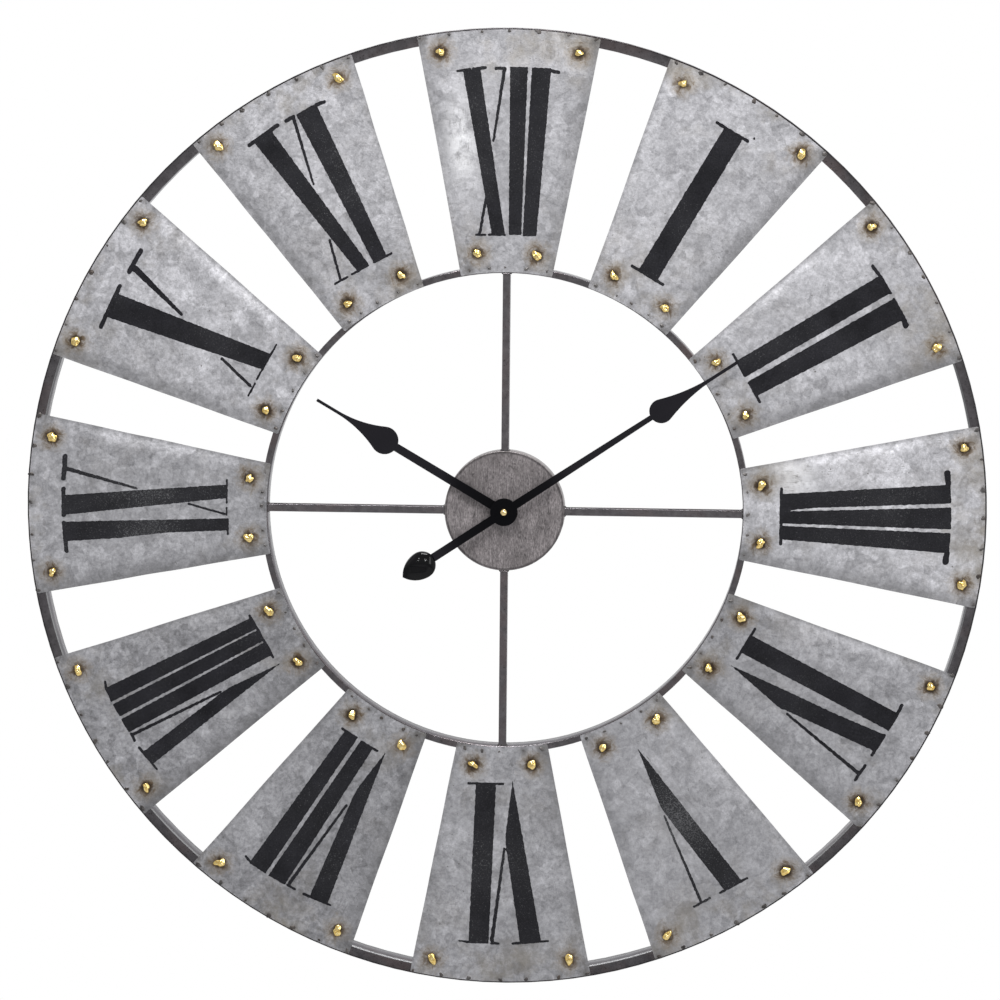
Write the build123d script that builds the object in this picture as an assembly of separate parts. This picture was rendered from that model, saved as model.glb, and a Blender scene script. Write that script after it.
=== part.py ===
from build123d import *
import math
import os

# Open-frame wall clock. Lengths are in millimetres, angles in degrees.
# The front faces -Y and the wall is the plane y = 0, with +Z up.
# "Forward" heights below are distances from the wall towards the viewer, so y = -forward.
# Everything is drawn about the hand axis, and save() moves it so that the
# centre of the hanging hole, on the wall plane, is the origin.

# Frame
RING_R = 400.0
RING_FACE = 9.0
RING_DEPTH = 22.0
DISH_RISE = 4.0
INNER_RING_HOLE_R = 198.0
INNER_RING_FACE = 5.5
INNER_RING_DEPTH = 22.0
BAR_FACE = 6.35
BAR_DEPTH = 8.0
PAN_R = 50.0
PAN_DEPTH = 18.0
PAN_SKIN = 1.5
WELD_GAP = 0.05

# Numeral plates and their braze dots. Four hours' plates were set a little off their even places.
PLATE_COUNT = 12
PLATE_ARC = 22.0
PLATE_LEANS = {1: 0.45, 4: 0.35, 7: -0.3, 10: -0.65}
PLATE_THICKNESS = 1.0
PLATE_EDGE_INSET = 1.0
PLATE_INNER_LAP = 4.8
DOT_R = 4.2
DOT_HEIGHT = 2.0
DOT_OUTER_INSET = 15.3
DOT_OUTER_SPACING = 114.0
DOT_INNER_INSET = 16.3
DOT_INNER_SPACING = 50.0

# Hanger tab
HANGER_HOLE_R = 4.5
HANGER_HOLE_DROP = 19.0
HANGER_WIDTH = 30.0
HANGER_THICKNESS = 2.0
HANGER_END_R = 12.0

# Hands
MINUTE_ANGLE = 56.4
HOUR_ANGLE = 300.3
HAND_THICKNESS = 0.8
HAND_BOSS_R = 11.4
MINUTE_TIP = 231.0
MINUTE_BULB_AT = 155.5
MINUTE_BULB_R = 10.0
MINUTE_ROD_FROM = 207.0
MINUTE_ROD_WIDTH = 2.7
MINUTE_ARM_WIDTH = 7.2
MINUTE_ARM_END_WIDTH = 4.3
HOUR_TIP = 181.0
HOUR_BULB_AT = 115.5
HOUR_BULB_R = 11.5
HOUR_ROD_FROM = 161.0
HOUR_ROD_WIDTH = 2.5
HOUR_ARM_WIDTH = 7.8
HOUR_ARM_END_WIDTH = 6.8
TAIL_WIDTH = 7.0
DROP_AT = 81.0
DROP_R = 11.4
DROP_TIP = 100.4
DROP_HEIGHT = 5.0
DROP_PAD_INSET = 1.5
NUT_R = 3.2
NUT_HEIGHT = 2.6
COLLET_WALL = 1.0
COLLET_LENGTH = 2.0
HAND_GAP = 2.2

# Movement case
CASE_SIZE = 56.0
CASE_DEPTH = 16.5
CASE_WALL = 1.5
CASE_CORNER_R = 3.0
COVER_THICKNESS = 2.0
GASKET_THICKNESS = 1.0
GASKET_R = 12.0
BAY_TOP = -10.5
BAY_HEADROOM = 1.3
DIVIDER = 1.2
POST_SIZE = 5.0
LEDGE_SIZE = 7.0
MIDDLE_PLATE_THICKNESS = 1.0
MOTION_DEPTH = 5.2
SCREW_R = 1.0
SCREW_HEAD_R = 1.8
SCREW_HEAD_HEIGHT = 0.9
SCREW_LENGTH = 6.0
SLIP = 0.1

# Shaft stack through the hub pan
ARBOR_R = 1.6
REAR_ARBOR_R = 1.0
PIPE_WALL = 0.85
BUSH_R = 4.0
BUSH_FLANGE_R = 6.0
BUSH_FLANGE = 0.8
BUSH_STAND = 0.5
RUNNING = 0.05
WASHER_R = 8.0
WASHER_THICKNESS = 0.5
FIXING_NUT_FLATS = 11.0
FIXING_NUT_HEIGHT = 2.2
HOUR_HAND_RISE = 5.0

# Gear train: tooth counts and modules
CANNON_TEETH = 12
MINUTE_WHEEL_TEETH = 36
MINUTE_PINION_TEETH = 10
HOUR_WHEEL_TEETH = 40
MOTION_DISTANCE = 10.0
CENTRE_TEETH = 60
THIRD_PINION_TEETH = 8
CENTRE_MODULE = 0.25
THIRD_TEETH = 64
ROTOR_PINION_TEETH = 8
THIRD_MODULE = 0.2
ADDENDUM = 0.7
DEDENDUM = 0.95
TOOTH_ROOT_SHARE = 0.5
TOOTH_TIP_SHARE = 0.24
WHEEL_THICKNESS = 0.8
PINION_LENGTH = 1.4
WHEEL_GAP = 0.4
MINUTE_WHEEL_DIRECTION = 0.0
THIRD_DIRECTION = 150.0
ROTOR_DIRECTION = 90.0
MINUTE_WHEEL_ARBOR_R = 1.3
TRAIN_ARBOR_R = 0.4
PIVOT_DEPTH = 0.8
BOSS_HEIGHT = 1.4
BOSS_WALL = 1.0
KNOB_R = 5.0
KNOB_HEIGHT = 3.5
KNOB_FLUTES = 18
KNOB_FLUTE_R = 0.55

# Motor and electronics
MAGNET_R = 2.9
MAGNET_LENGTH = 1.4
MAGNET_GAP = 0.4
STATOR_THICKNESS = 1.0
STATOR_HALF_WIDTH = 13.5
STATOR_POST_GAP = 0.6
STATOR_LEG = 4.5
STATOR_BELOW_ROTOR = 4.5
STATOR_ABOVE_ROTOR = 5.5
COIL_WALL_GAP = 1.8
COIL_END_GAP = 1.0
COIL_CORE_R = 0.9
BOBBIN_WALL = 0.5
BOBBIN_FLANGE_R = 2.2
BOBBIN_FLANGE = 0.8
WINDING_R = 2.0
PILLAR_R = 1.5
BOARD_WIDTH = 14.0
BOARD_HEIGHT = 13.0
BOARD_WALL_GAP = 2.0
BOARD_POST_GAP = 1.5
BOARD_THICKNESS = 0.8
CRYSTAL_R = 1.0
CRYSTAL_LENGTH = 6.0

# Battery and its contacts
BATTERY_R = 7.25
BATTERY_CAP_R = 2.75
BATTERY_CAP = 1.0
BATTERY_CLEAR = 0.2
CONTACT_THICKNESS = 0.4
CONTACT_SIZE = 10.0
CONTACT_REACH = 1.25
STRIP_WIDTH = 2.0
STRIP_POST_GAP = 1.5
STRIP_SPACING = 4.5
SLOT_CLEAR = 0.2

# Forward heights that follow from the sizes above
FRONT = RING_DEPTH + DISH_RISE
PAN_BACK = FRONT - PAN_SKIN
CASE_FRONT = PAN_BACK - GASKET_THICKNESS
CASE_BACK = CASE_FRONT - CASE_DEPTH
CASE_INSIDE = CASE_FRONT - CASE_WALL
COVER_INSIDE = CASE_BACK + COVER_THICKNESS
MIDDLE_PLATE_BACK = CASE_INSIDE - MOTION_DEPTH
MIDDLE_PLATE_FRONT = MIDDLE_PLATE_BACK + MIDDLE_PLATE_THICKNESS
CANNON_BACK = MIDDLE_PLATE_FRONT + WHEEL_GAP
CANNON_FRONT = CANNON_BACK + PINION_LENGTH
HOUR_WHEEL_BACK = CANNON_FRONT + WHEEL_GAP
HOUR_WHEEL_FRONT = HOUR_WHEEL_BACK + WHEEL_THICKNESS
CENTRE_WHEEL_FRONT = MIDDLE_PLATE_BACK - WHEEL_GAP
CENTRE_WHEEL_BACK = CENTRE_WHEEL_FRONT - WHEEL_THICKNESS
THIRD_WHEEL_FRONT = CENTRE_WHEEL_BACK - 2 * WHEEL_GAP
THIRD_WHEEL_BACK = THIRD_WHEEL_FRONT - WHEEL_THICKNESS
MAGNET_FRONT = THIRD_WHEEL_BACK - WHEEL_GAP
MAGNET_BACK = MAGNET_FRONT - MAGNET_LENGTH
STATOR_FRONT = (MAGNET_FRONT + MAGNET_BACK + STATOR_THICKNESS) / 2
STATOR_BACK = STATOR_FRONT - STATOR_THICKNESS
BOARD_BACK = COVER_INSIDE + BOSS_HEIGHT
BOARD_FRONT = BOARD_BACK + BOARD_THICKNESS
WASHER_FRONT = FRONT + WASHER_THICKNESS
FIXING_NUT_FRONT = WASHER_FRONT + FIXING_NUT_HEIGHT
BUSH_FRONT = FIXING_NUT_FRONT + BUSH_STAND
HOUR_HAND_BACK = BUSH_FRONT + HOUR_HAND_RISE
HOUR_HAND_FRONT = HOUR_HAND_BACK + HAND_THICKNESS
MINUTE_HAND_BACK = HOUR_HAND_FRONT + HAND_GAP
MINUTE_HAND_FRONT = MINUTE_HAND_BACK + HAND_THICKNESS

# Radii and places that follow from the sizes above
RING_HOLE_R = RING_R - RING_FACE
INNER_RING_R = INNER_RING_HOLE_R + INNER_RING_FACE
PLATE_OUTER_R = RING_R - PLATE_EDGE_INSET
PLATE_INNER_R = INNER_RING_R - PLATE_INNER_LAP
PLATE_SLOPE = DISH_RISE / (PLATE_OUTER_R - INNER_RING_R)
HANGER_HOLE_AT = RING_HOLE_R - HANGER_HOLE_DROP
PIPE_BORE_R = ARBOR_R + RUNNING
PIPE_R = PIPE_BORE_R + PIPE_WALL
CHAMBER_HALF = CASE_SIZE / 2 - CASE_WALL
CHAMBER_BOTTOM = BAY_TOP + DIVIDER
POST_AT = CHAMBER_HALF - POST_SIZE / 2
POST_LOW = CHAMBER_BOTTOM + POST_SIZE / 2
POST_INSIDE = CHAMBER_HALF - POST_SIZE
BAY_BOTTOM = BAY_TOP - BAY_HEADROOM - 2 * BATTERY_R - BATTERY_CLEAR
CASE_BOTTOM = BAY_BOTTOM - CASE_WALL
COVER_HEIGHT = CASE_SIZE / 2 - BAY_TOP - SLIP
COVER_CENTRE = CASE_SIZE / 2 - COVER_HEIGHT / 2
POSTS = [(-POST_AT, POST_AT), (POST_AT, POST_AT), (-POST_AT, POST_LOW), (POST_AT, POST_LOW)]
CANNON_MODULE = 2 * MOTION_DISTANCE / (CANNON_TEETH + MINUTE_WHEEL_TEETH)
HOUR_MODULE = 2 * MOTION_DISTANCE / (MINUTE_PINION_TEETH + HOUR_WHEEL_TEETH)
THIRD_DISTANCE = CENTRE_MODULE * (CENTRE_TEETH + THIRD_PINION_TEETH) / 2
ROTOR_DISTANCE = THIRD_MODULE * (THIRD_TEETH + ROTOR_PINION_TEETH) / 2
BATTERY_FORWARD = CASE_INSIDE - BATTERY_CLEAR - BATTERY_R
BATTERY_Z = BAY_TOP - BAY_HEADROOM - BATTERY_R
BATTERY_BODY = 2 * (CHAMBER_HALF - CONTACT_REACH) - BATTERY_CAP
BOARD_CENTRE_X = CHAMBER_HALF - BOARD_WALL_GAP - BOARD_WIDTH / 2
BOARD_BOTTOM = POST_INSIDE - BOARD_POST_GAP - BOARD_HEIGHT
PLUS_STRIP_X = POST_INSIDE - STRIP_POST_GAP
MINUS_STRIP_X = PLUS_STRIP_X - STRIP_SPACING
STRIP_BACK = BOARD_BACK - (STRIP_WIDTH - BOARD_THICKNESS) / 2


def polar(distance, direction):
    """Point in the dial plane, with the direction measured anticlockwise from +X."""
    angle = math.radians(direction)
    return (distance * math.cos(angle), distance * math.sin(angle))


MINUTE_WHEEL_AT = polar(MOTION_DISTANCE, MINUTE_WHEEL_DIRECTION)
THIRD_AT = polar(THIRD_DISTANCE, THIRD_DIRECTION)
ROTOR_STEP = polar(ROTOR_DISTANCE, ROTOR_DIRECTION)
ROTOR_AT = (THIRD_AT[0] + ROTOR_STEP[0], THIRD_AT[1] + ROTOR_STEP[1])
COIL_Z = CHAMBER_HALF - COIL_WALL_GAP - BOBBIN_FLANGE_R
STATOR_LOW = ROTOR_AT[1] - STATOR_BELOW_ROTOR
STATOR_BRIDGE_TOP = ROTOR_AT[1] + STATOR_ABOVE_ROTOR
STATOR_TOP = COIL_Z + BOBBIN_FLANGE_R
STATOR_LEFT = STATOR_POST_GAP - POST_INSIDE
STATOR_RIGHT = ROTOR_AT[0] + STATOR_HALF_WIDTH


def layer(sketch, back, front):
    """Solid with the sketch's outline, between two forward heights."""
    return extrude(Plane.XZ.offset(back) * sketch, amount=front - back)


def rod(at, radius, back, front):
    return layer(Pos(*at) * Circle(radius), back, front)


def tube(at, radius, bore, back, front):
    return layer(Pos(*at) * (Circle(radius) - Circle(bore)), back, front)


def block(left, right, low, high, back, front):
    sketch = Rectangle(right - left, high - low)
    return layer(Pos((left + right) / 2, (low + high) / 2) * sketch, back, front)


def rod_along_x(left, right, z, forward, radius):
    return Pos((left + right) / 2, -forward, z) * Rot(0, 90, 0) * Cylinder(radius, right - left)


def dome(radius, height):
    """Spherical cap on the XY plane, bulging towards +Z."""
    ball_r = (radius**2 + height**2) / (2 * height)
    half = math.asin(min(1.0, radius / ball_r)) / 2
    middle = (ball_r * math.sin(half), height - ball_r + ball_r * math.cos(half))
    base = Line((0, 0), (radius, 0))
    cap = ThreePointArc((radius, 0), middle, (0, height))
    profile = make_face([base, cap, Line((0, height), (0, 0))])
    return revolve(Plane.XZ * profile, axis=Axis.Z)


def gear(at, teeth, module, phase, back, front):
    """Spur gear with flat-sided stub teeth and one tooth centred on the phase angle."""
    pitch_r = teeth * module / 2
    root_r = pitch_r - DEDENDUM * module
    tip_r = pitch_r + ADDENDUM * module
    step = 360 / teeth
    corners = []
    for tooth in range(teeth):
        middle = phase + tooth * step
        corners.append(polar(root_r, middle - step * TOOTH_ROOT_SHARE / 2))
        corners.append(polar(tip_r, middle - step * TOOTH_TIP_SHARE / 2))
        corners.append(polar(tip_r, middle + step * TOOTH_TIP_SHARE / 2))
        corners.append(polar(root_r, middle + step * TOOTH_ROOT_SHARE / 2))
    outline = make_face(Polyline(*corners, close=True))
    return layer(Pos(*at) * outline, back, front)


def gap_phase(direction, teeth):
    """Phase that puts a tooth gap towards the gear that lies back along the direction."""
    return direction + 180 + 180 / teeth


def clockwise(shape, angle):
    """The shape turned clockwise about the hand axis, as the viewer sees it."""
    return Rot(0, angle, 0) * shape


os.makedirs("parts", exist_ok=True)


def save(name, shape):
    shape = Pos(0, 0, -HANGER_HOLE_AT) * shape
    shape.label = name
    export_step(shape, f"parts/{name}.step")


# Frame: rings, spokes and hub pan

def ring(radius, hole, back, front):
    return tube((0, 0), radius, hole, back, front)


def spoke():
    """Upright spoke above the hub."""
    low = PAN_R + WELD_GAP
    high = INNER_RING_HOLE_R - WELD_GAP
    return block(-BAR_FACE / 2, BAR_FACE / 2, low, high, FRONT - BAR_DEPTH, FRONT)


def hub_pan():
    pan = rod((0, 0), PAN_R, FRONT - PAN_DEPTH, FRONT)
    pan -= rod((0, 0), PAN_R - PAN_SKIN, FRONT - PAN_DEPTH, PAN_BACK)
    return pan - rod((0, 0), BUSH_R + SLIP, PAN_BACK, FRONT)


save("outer_ring", ring(RING_R, RING_HOLE_R, 0, RING_DEPTH))
save("inner_ring", ring(INNER_RING_R, INNER_RING_HOLE_R, FRONT - INNER_RING_DEPTH, FRONT))
for spoke_name, spoke_angle in (("top", 0), ("right", 90), ("bottom", 180), ("left", 270)):
    save(f"spoke_{spoke_name}", clockwise(spoke(), spoke_angle))
save("hub_pan", hub_pan())


# Numeral plates: sheets rolled to a shallow cone that lies on both rings

def plate_back(radius):
    """Forward height of the plates' back face at a radius."""
    return RING_DEPTH + WELD_GAP + PLATE_SLOPE * (PLATE_OUTER_R - radius)


def numeral_plate():
    """The plate at twelve o'clock."""
    corners = []
    for radius, lift in (
        (PLATE_INNER_R, 0),
        (PLATE_OUTER_R, 0),
        (PLATE_OUTER_R, PLATE_THICKNESS),
        (PLATE_INNER_R, PLATE_THICKNESS),
    ):
        corners.append((0, -plate_back(radius) - lift, radius))
    section = make_face(Polyline(*corners, close=True))
    sheet = revolve(section, axis=Axis.Y, revolution_arc=PLATE_ARC)
    return clockwise(sheet, -PLATE_ARC / 2)


def braze_dot(radius, offset, plate_angle):
    """Domed dot seated on the plates' front face, offset from the plate's middle line."""
    angle = plate_angle + math.degrees(math.asin(offset / radius))
    lean = math.degrees(math.atan(PLATE_SLOPE))
    seat = plate_back(radius) + PLATE_THICKNESS + WELD_GAP
    return clockwise(Pos(0, -seat, radius) * Rot(90 - lean, 0, 0) * dome(DOT_R, DOT_HEIGHT), angle)


plate = numeral_plate()
dots = []
for hour in range(1, PLATE_COUNT + 1):
    plate_angle = hour * 360 / PLATE_COUNT + PLATE_LEANS.get(hour, 0)
    save(f"numeral_plate_{hour:02d}", clockwise(plate, plate_angle))
    for side in (-1, 1):
        outer_offset = side * DOT_OUTER_SPACING / 2
        inner_offset = side * DOT_INNER_SPACING / 2
        dots.append(braze_dot(PLATE_OUTER_R - DOT_OUTER_INSET, outer_offset, plate_angle))
        dots.append(braze_dot(PLATE_INNER_R + DOT_INNER_INSET, inner_offset, plate_angle))
save("braze_dots", Compound([dot.solid() for dot in dots]))


# Hanger tab inside the top of the outer ring, flush with the wall

def hanger_tab():
    low = HANGER_HOLE_AT - HANGER_END_R
    tab = block(-HANGER_WIDTH / 2, HANGER_WIDTH / 2, low, RING_R, 0, HANGER_THICKNESS)
    tab &= rod((0, 0), RING_HOLE_R - WELD_GAP, 0, HANGER_THICKNESS)
    corners = tab.edges().filter_by(Axis.Y).sort_by(Axis.Z)[:2]
    tab = fillet(corners, HANGER_END_R / 2)
    return tab - rod((0, HANGER_HOLE_AT), HANGER_HOLE_R, 0, HANGER_THICKNESS)


save("hanger_tab", hanger_tab())


# Hands

def spade_outline(tip, bulb_at, bulb_r, rod_from, rod_width, arm_width, arm_end_width):
    """Upright hand: boss, tapered arm, and a round bulb whose hollow shoulders run smoothly into a thin tip."""
    arm = make_face(
        Polyline(
            (-arm_width / 2, 0),
            (arm_width / 2, 0),
            (arm_end_width / 2, bulb_at),
            (-arm_end_width / 2, bulb_at),
            close=True,
        )
    )
    length = rod_from - bulb_at
    hollow_r = (length**2 + (rod_width / 2) ** 2 - bulb_r**2) / (2 * bulb_r - rod_width)
    hollow_x = rod_width / 2 + hollow_r
    share = bulb_r / (bulb_r + hollow_r)
    touch_x, touch_y = hollow_x * share, bulb_at + length * share
    half = math.atan2(rod_from - touch_y, hollow_x - touch_x) / 2
    middle_x, middle_y = hollow_x - hollow_r * math.cos(half), rod_from - hollow_r * math.sin(half)
    shoulder = make_face(
        [
            Line((-touch_x, touch_y), (touch_x, touch_y)),
            ThreePointArc((touch_x, touch_y), (middle_x, middle_y), (rod_width / 2, rod_from)),
            Line((rod_width / 2, rod_from), (-rod_width / 2, rod_from)),
            ThreePointArc((-rod_width / 2, rod_from), (-middle_x, middle_y), (-touch_x, touch_y)),
        ]
    )
    rod_length = tip - bulb_at
    point = Pos(0, bulb_at + rod_length / 2) * Rectangle(rod_width, rod_length)
    return Circle(HAND_BOSS_R) + arm + Pos(0, bulb_at) * Circle(bulb_r) + shoulder + point


def drop_side(inset):
    """One side of the drop: a quarter circle at its neck, then an arc that runs on to the tip."""
    radius = DROP_R - inset
    length = DROP_TIP - inset - DROP_AT
    diagonal = radius * math.sqrt(0.5)
    neck = ThreePointArc((0, DROP_AT - radius), (diagonal, DROP_AT - diagonal), (radius, DROP_AT))
    flank_r = (radius**2 + length**2) / (2 * radius)
    half = math.asin(min(1.0, length / flank_r)) / 2
    middle = (radius - flank_r + flank_r * math.cos(half), DROP_AT + flank_r * math.sin(half))
    return [neck, ThreePointArc((radius, DROP_AT), middle, (0, DROP_AT + length))]


def drop_half(inset):
    """Half of the drop's outline, right of its long axis."""
    edges = drop_side(inset)
    edges.append(Line((0, DROP_TIP - inset), (0, DROP_AT - DROP_R + inset)))
    return make_face(edges)


def minute_outline():
    hand = spade_outline(
        MINUTE_TIP, MINUTE_BULB_AT, MINUTE_BULB_R, MINUTE_ROD_FROM, MINUTE_ROD_WIDTH,
        MINUTE_ARM_WIDTH, MINUTE_ARM_END_WIDTH,
    )
    half = drop_half(DROP_PAD_INSET)
    pad = half + mirror(half, about=Plane.YZ)
    tail = Pos(0, -DROP_AT / 2) * Rectangle(TAIL_WIDTH, DROP_AT)
    return hand + tail + Rot(0, 0, 180) * pad


def hour_outline():
    return spade_outline(
        HOUR_TIP, HOUR_BULB_AT, HOUR_BULB_R, HOUR_ROD_FROM, HOUR_ROD_WIDTH,
        HOUR_ARM_WIDTH, HOUR_ARM_END_WIDTH,
    )


def counterweight():
    """Turned drop, flattened and halved, with its flat side on the tail."""
    turned = revolve(drop_half(0), axis=Axis.Y)
    flat = scale(turned, by=(1, 1, DROP_HEIGHT / DROP_R))
    reach = 2 * DROP_TIP
    front_half = flat & Pos(0, 0, reach / 2) * Box(reach, reach, reach)
    return Plane.XZ.offset(MINUTE_HAND_FRONT) * Rot(0, 0, 180) * front_half


def collet(bore, hand_back):
    """Short brass tube that a hand sits round."""
    middle = hand_back + HAND_THICKNESS / 2
    return tube((0, 0), bore + COLLET_WALL, bore, middle - COLLET_LENGTH / 2, middle + COLLET_LENGTH / 2)


def hand(outline, bore, back):
    hole = Circle(bore + COLLET_WALL + SLIP / 2)
    return layer(outline - hole, back, back + HAND_THICKNESS)


MINUTE_COLLET_BORE = ARBOR_R + SLIP / 2
HOUR_COLLET_BORE = PIPE_R + SLIP / 2
MINUTE_COLLET_FRONT = MINUTE_HAND_BACK + (HAND_THICKNESS + COLLET_LENGTH) / 2
save("minute_hand", clockwise(hand(minute_outline(), MINUTE_COLLET_BORE, MINUTE_HAND_BACK), MINUTE_ANGLE))
save("minute_collet", collet(MINUTE_COLLET_BORE, MINUTE_HAND_BACK))
save("counterweight", clockwise(counterweight(), MINUTE_ANGLE))
save("hour_hand", clockwise(hand(hour_outline(), HOUR_COLLET_BORE, HOUR_HAND_BACK), HOUR_ANGLE))
save("hour_collet", collet(HOUR_COLLET_BORE, HOUR_HAND_BACK))
nut_seat = MINUTE_COLLET_FRONT
nut_dome = Pos(0, -nut_seat, 0) * Rot(90, 0, 0) * dome(NUT_R, NUT_HEIGHT)
arbor_front = nut_seat + NUT_HEIGHT / 2
save("hand_nut", nut_dome - rod((0, 0), ARBOR_R + SLIP / 2, nut_seat, arbor_front + SLIP))


# Shaft stack: gasket, bush, washer and fixing nut

bush = tube((0, 0), BUSH_R, PIPE_R + RUNNING, CASE_INSIDE, BUSH_FRONT)
bush += tube((0, 0), BUSH_FLANGE_R, PIPE_R + RUNNING, CASE_INSIDE - BUSH_FLANGE, CASE_INSIDE)
save("threaded_bush", bush)
save("gasket", tube((0, 0), GASKET_R, BUSH_R + SLIP, CASE_FRONT, PAN_BACK))
save("fixing_washer", tube((0, 0), WASHER_R, BUSH_R + SLIP, FRONT, WASHER_FRONT))
hexagon = RegularPolygon(FIXING_NUT_FLATS / 2, 6, major_radius=False)
save("fixing_nut", layer(hexagon - Circle(BUSH_R + SLIP), WASHER_FRONT, FIXING_NUT_FRONT))


# Movement case: chamber for the train above, open battery bay below

def movement_case():
    half = CASE_SIZE / 2
    outline = RectangleRounded(CASE_SIZE, half - CASE_BOTTOM, CASE_CORNER_R)
    case = layer(Pos(0, (half + CASE_BOTTOM) / 2) * outline, CASE_BACK, CASE_FRONT)
    case -= block(-half, half, BAY_TOP, half, CASE_BACK, COVER_INSIDE)
    case -= block(-CHAMBER_HALF, CHAMBER_HALF, CHAMBER_BOTTOM, CHAMBER_HALF, COVER_INSIDE, CASE_INSIDE)
    case -= block(-CHAMBER_HALF, CHAMBER_HALF, BAY_BOTTOM, BAY_TOP, CASE_BACK, CASE_INSIDE)
    for x, z in POSTS:
        post = Pos(x, z) * Rectangle(POST_SIZE, POST_SIZE)
        case += layer(post, COVER_INSIDE, CASE_INSIDE)
        toward = math.copysign((LEDGE_SIZE - POST_SIZE) / 2, x)
        ledge = Pos(x - toward, z) * Rectangle(LEDGE_SIZE, POST_SIZE)
        case += layer(ledge, MIDDLE_PLATE_FRONT, CASE_INSIDE)
        case -= rod((x, z), SCREW_R + SLIP / 2, COVER_INSIDE, COVER_INSIDE + SCREW_LENGTH)
    case -= rod((0, 0), BUSH_R + SLIP, CASE_INSIDE, CASE_FRONT)
    case -= rod(MINUTE_WHEEL_AT, MINUTE_WHEEL_ARBOR_R + RUNNING, CASE_INSIDE, CASE_INSIDE + PIVOT_DEPTH)
    for x in (PLUS_STRIP_X, MINUS_STRIP_X):
        width = CONTACT_THICKNESS + 2 * SLOT_CLEAR
        low = STRIP_BACK - SLOT_CLEAR
        high = STRIP_BACK + STRIP_WIDTH + SLOT_CLEAR
        case -= block(x - width / 2, x + width / 2, BAY_TOP, CHAMBER_BOTTOM, low, high)
    return case


def rear_cover():
    outline = Pos(0, COVER_CENTRE) * RectangleRounded(CASE_SIZE, COVER_HEIGHT, CASE_CORNER_R)
    cover = layer(outline, CASE_BACK, COVER_INSIDE)
    for at, radius in (((0, 0), REAR_ARBOR_R), (THIRD_AT, TRAIN_ARBOR_R), (ROTOR_AT, TRAIN_ARBOR_R)):
        bore = radius + RUNNING
        cover += tube(at, bore + BOSS_WALL, bore, COVER_INSIDE, COVER_INSIDE + BOSS_HEIGHT)
    for x, z in board_posts():
        cover += rod((x, z), PILLAR_R, COVER_INSIDE, BOARD_BACK)
    cover -= rod(MINUTE_WHEEL_AT, MINUTE_WHEEL_ARBOR_R + RUNNING, CASE_BACK, COVER_INSIDE)
    for at in POSTS:
        cover -= rod(at, SCREW_R + SLIP / 2, CASE_BACK, COVER_INSIDE)
    return cover


def board_posts():
    """Two opposite corners of the circuit board, where it is carried."""
    left = BOARD_CENTRE_X - BOARD_WIDTH / 2 + PILLAR_R
    right = BOARD_CENTRE_X + BOARD_WIDTH / 2 - PILLAR_R
    low = BOARD_BOTTOM + PILLAR_R
    high = BOARD_BOTTOM + BOARD_HEIGHT - PILLAR_R
    return [(left, high), (right, low)]


def stator_pillars():
    z = (STATOR_LOW + STATOR_BRIDGE_TOP) / 2
    return [(STATOR_LEFT + STATOR_LEG / 2, z), (STATOR_RIGHT - STATOR_LEG / 2, z)]


def middle_plate():
    inside = CHAMBER_HALF - SLIP
    low = CHAMBER_BOTTOM + SLIP
    plate = block(-inside, inside, low, inside, MIDDLE_PLATE_BACK, MIDDLE_PLATE_FRONT)
    for x, z in POSTS:
        notch = Pos(x, z) * Rectangle(POST_SIZE + 2 * SLIP, POST_SIZE + 2 * SLIP)
        plate -= layer(notch, MIDDLE_PLATE_BACK, MIDDLE_PLATE_FRONT)
    holes = [((0, 0), ARBOR_R), (MINUTE_WHEEL_AT, MINUTE_WHEEL_ARBOR_R)]
    holes += [(THIRD_AT, TRAIN_ARBOR_R), (ROTOR_AT, TRAIN_ARBOR_R)]
    for at, radius in holes:
        plate -= rod(at, radius + RUNNING, MIDDLE_PLATE_BACK, MIDDLE_PLATE_FRONT)
    for at in stator_pillars():
        plate += rod(at, PILLAR_R, STATOR_FRONT, MIDDLE_PLATE_BACK)
    return plate


def cover_screw(at):
    head = rod(at, SCREW_HEAD_R, CASE_BACK - SCREW_HEAD_HEIGHT, CASE_BACK)
    return head + rod(at, SCREW_R, CASE_BACK, CASE_BACK + SCREW_LENGTH)


save("movement_case", movement_case())
save("rear_cover", rear_cover())
save("middle_plate", middle_plate())
save("cover_screws", Compound([cover_screw(at).solid() for at in POSTS]))


# Gear train

def minute_arbor():
    arbor = rod((0, 0), ARBOR_R, CENTRE_WHEEL_FRONT, arbor_front)
    return arbor + rod((0, 0), REAR_ARBOR_R, COVER_INSIDE + SLIP, CENTRE_WHEEL_FRONT)


def centre_wheel():
    wheel = gear(
        (0, 0), CENTRE_TEETH, CENTRE_MODULE, THIRD_DIRECTION, CENTRE_WHEEL_BACK, CENTRE_WHEEL_FRONT,
    )
    return wheel - rod((0, 0), REAR_ARBOR_R + SLIP / 2, CENTRE_WHEEL_BACK, CENTRE_WHEEL_FRONT)


def cannon_pinion():
    pinion = gear(
        (0, 0), CANNON_TEETH, CANNON_MODULE, MINUTE_WHEEL_DIRECTION, CANNON_BACK, CANNON_FRONT,
    )
    return pinion - rod((0, 0), ARBOR_R + SLIP / 2, CANNON_BACK, CANNON_FRONT)


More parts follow.
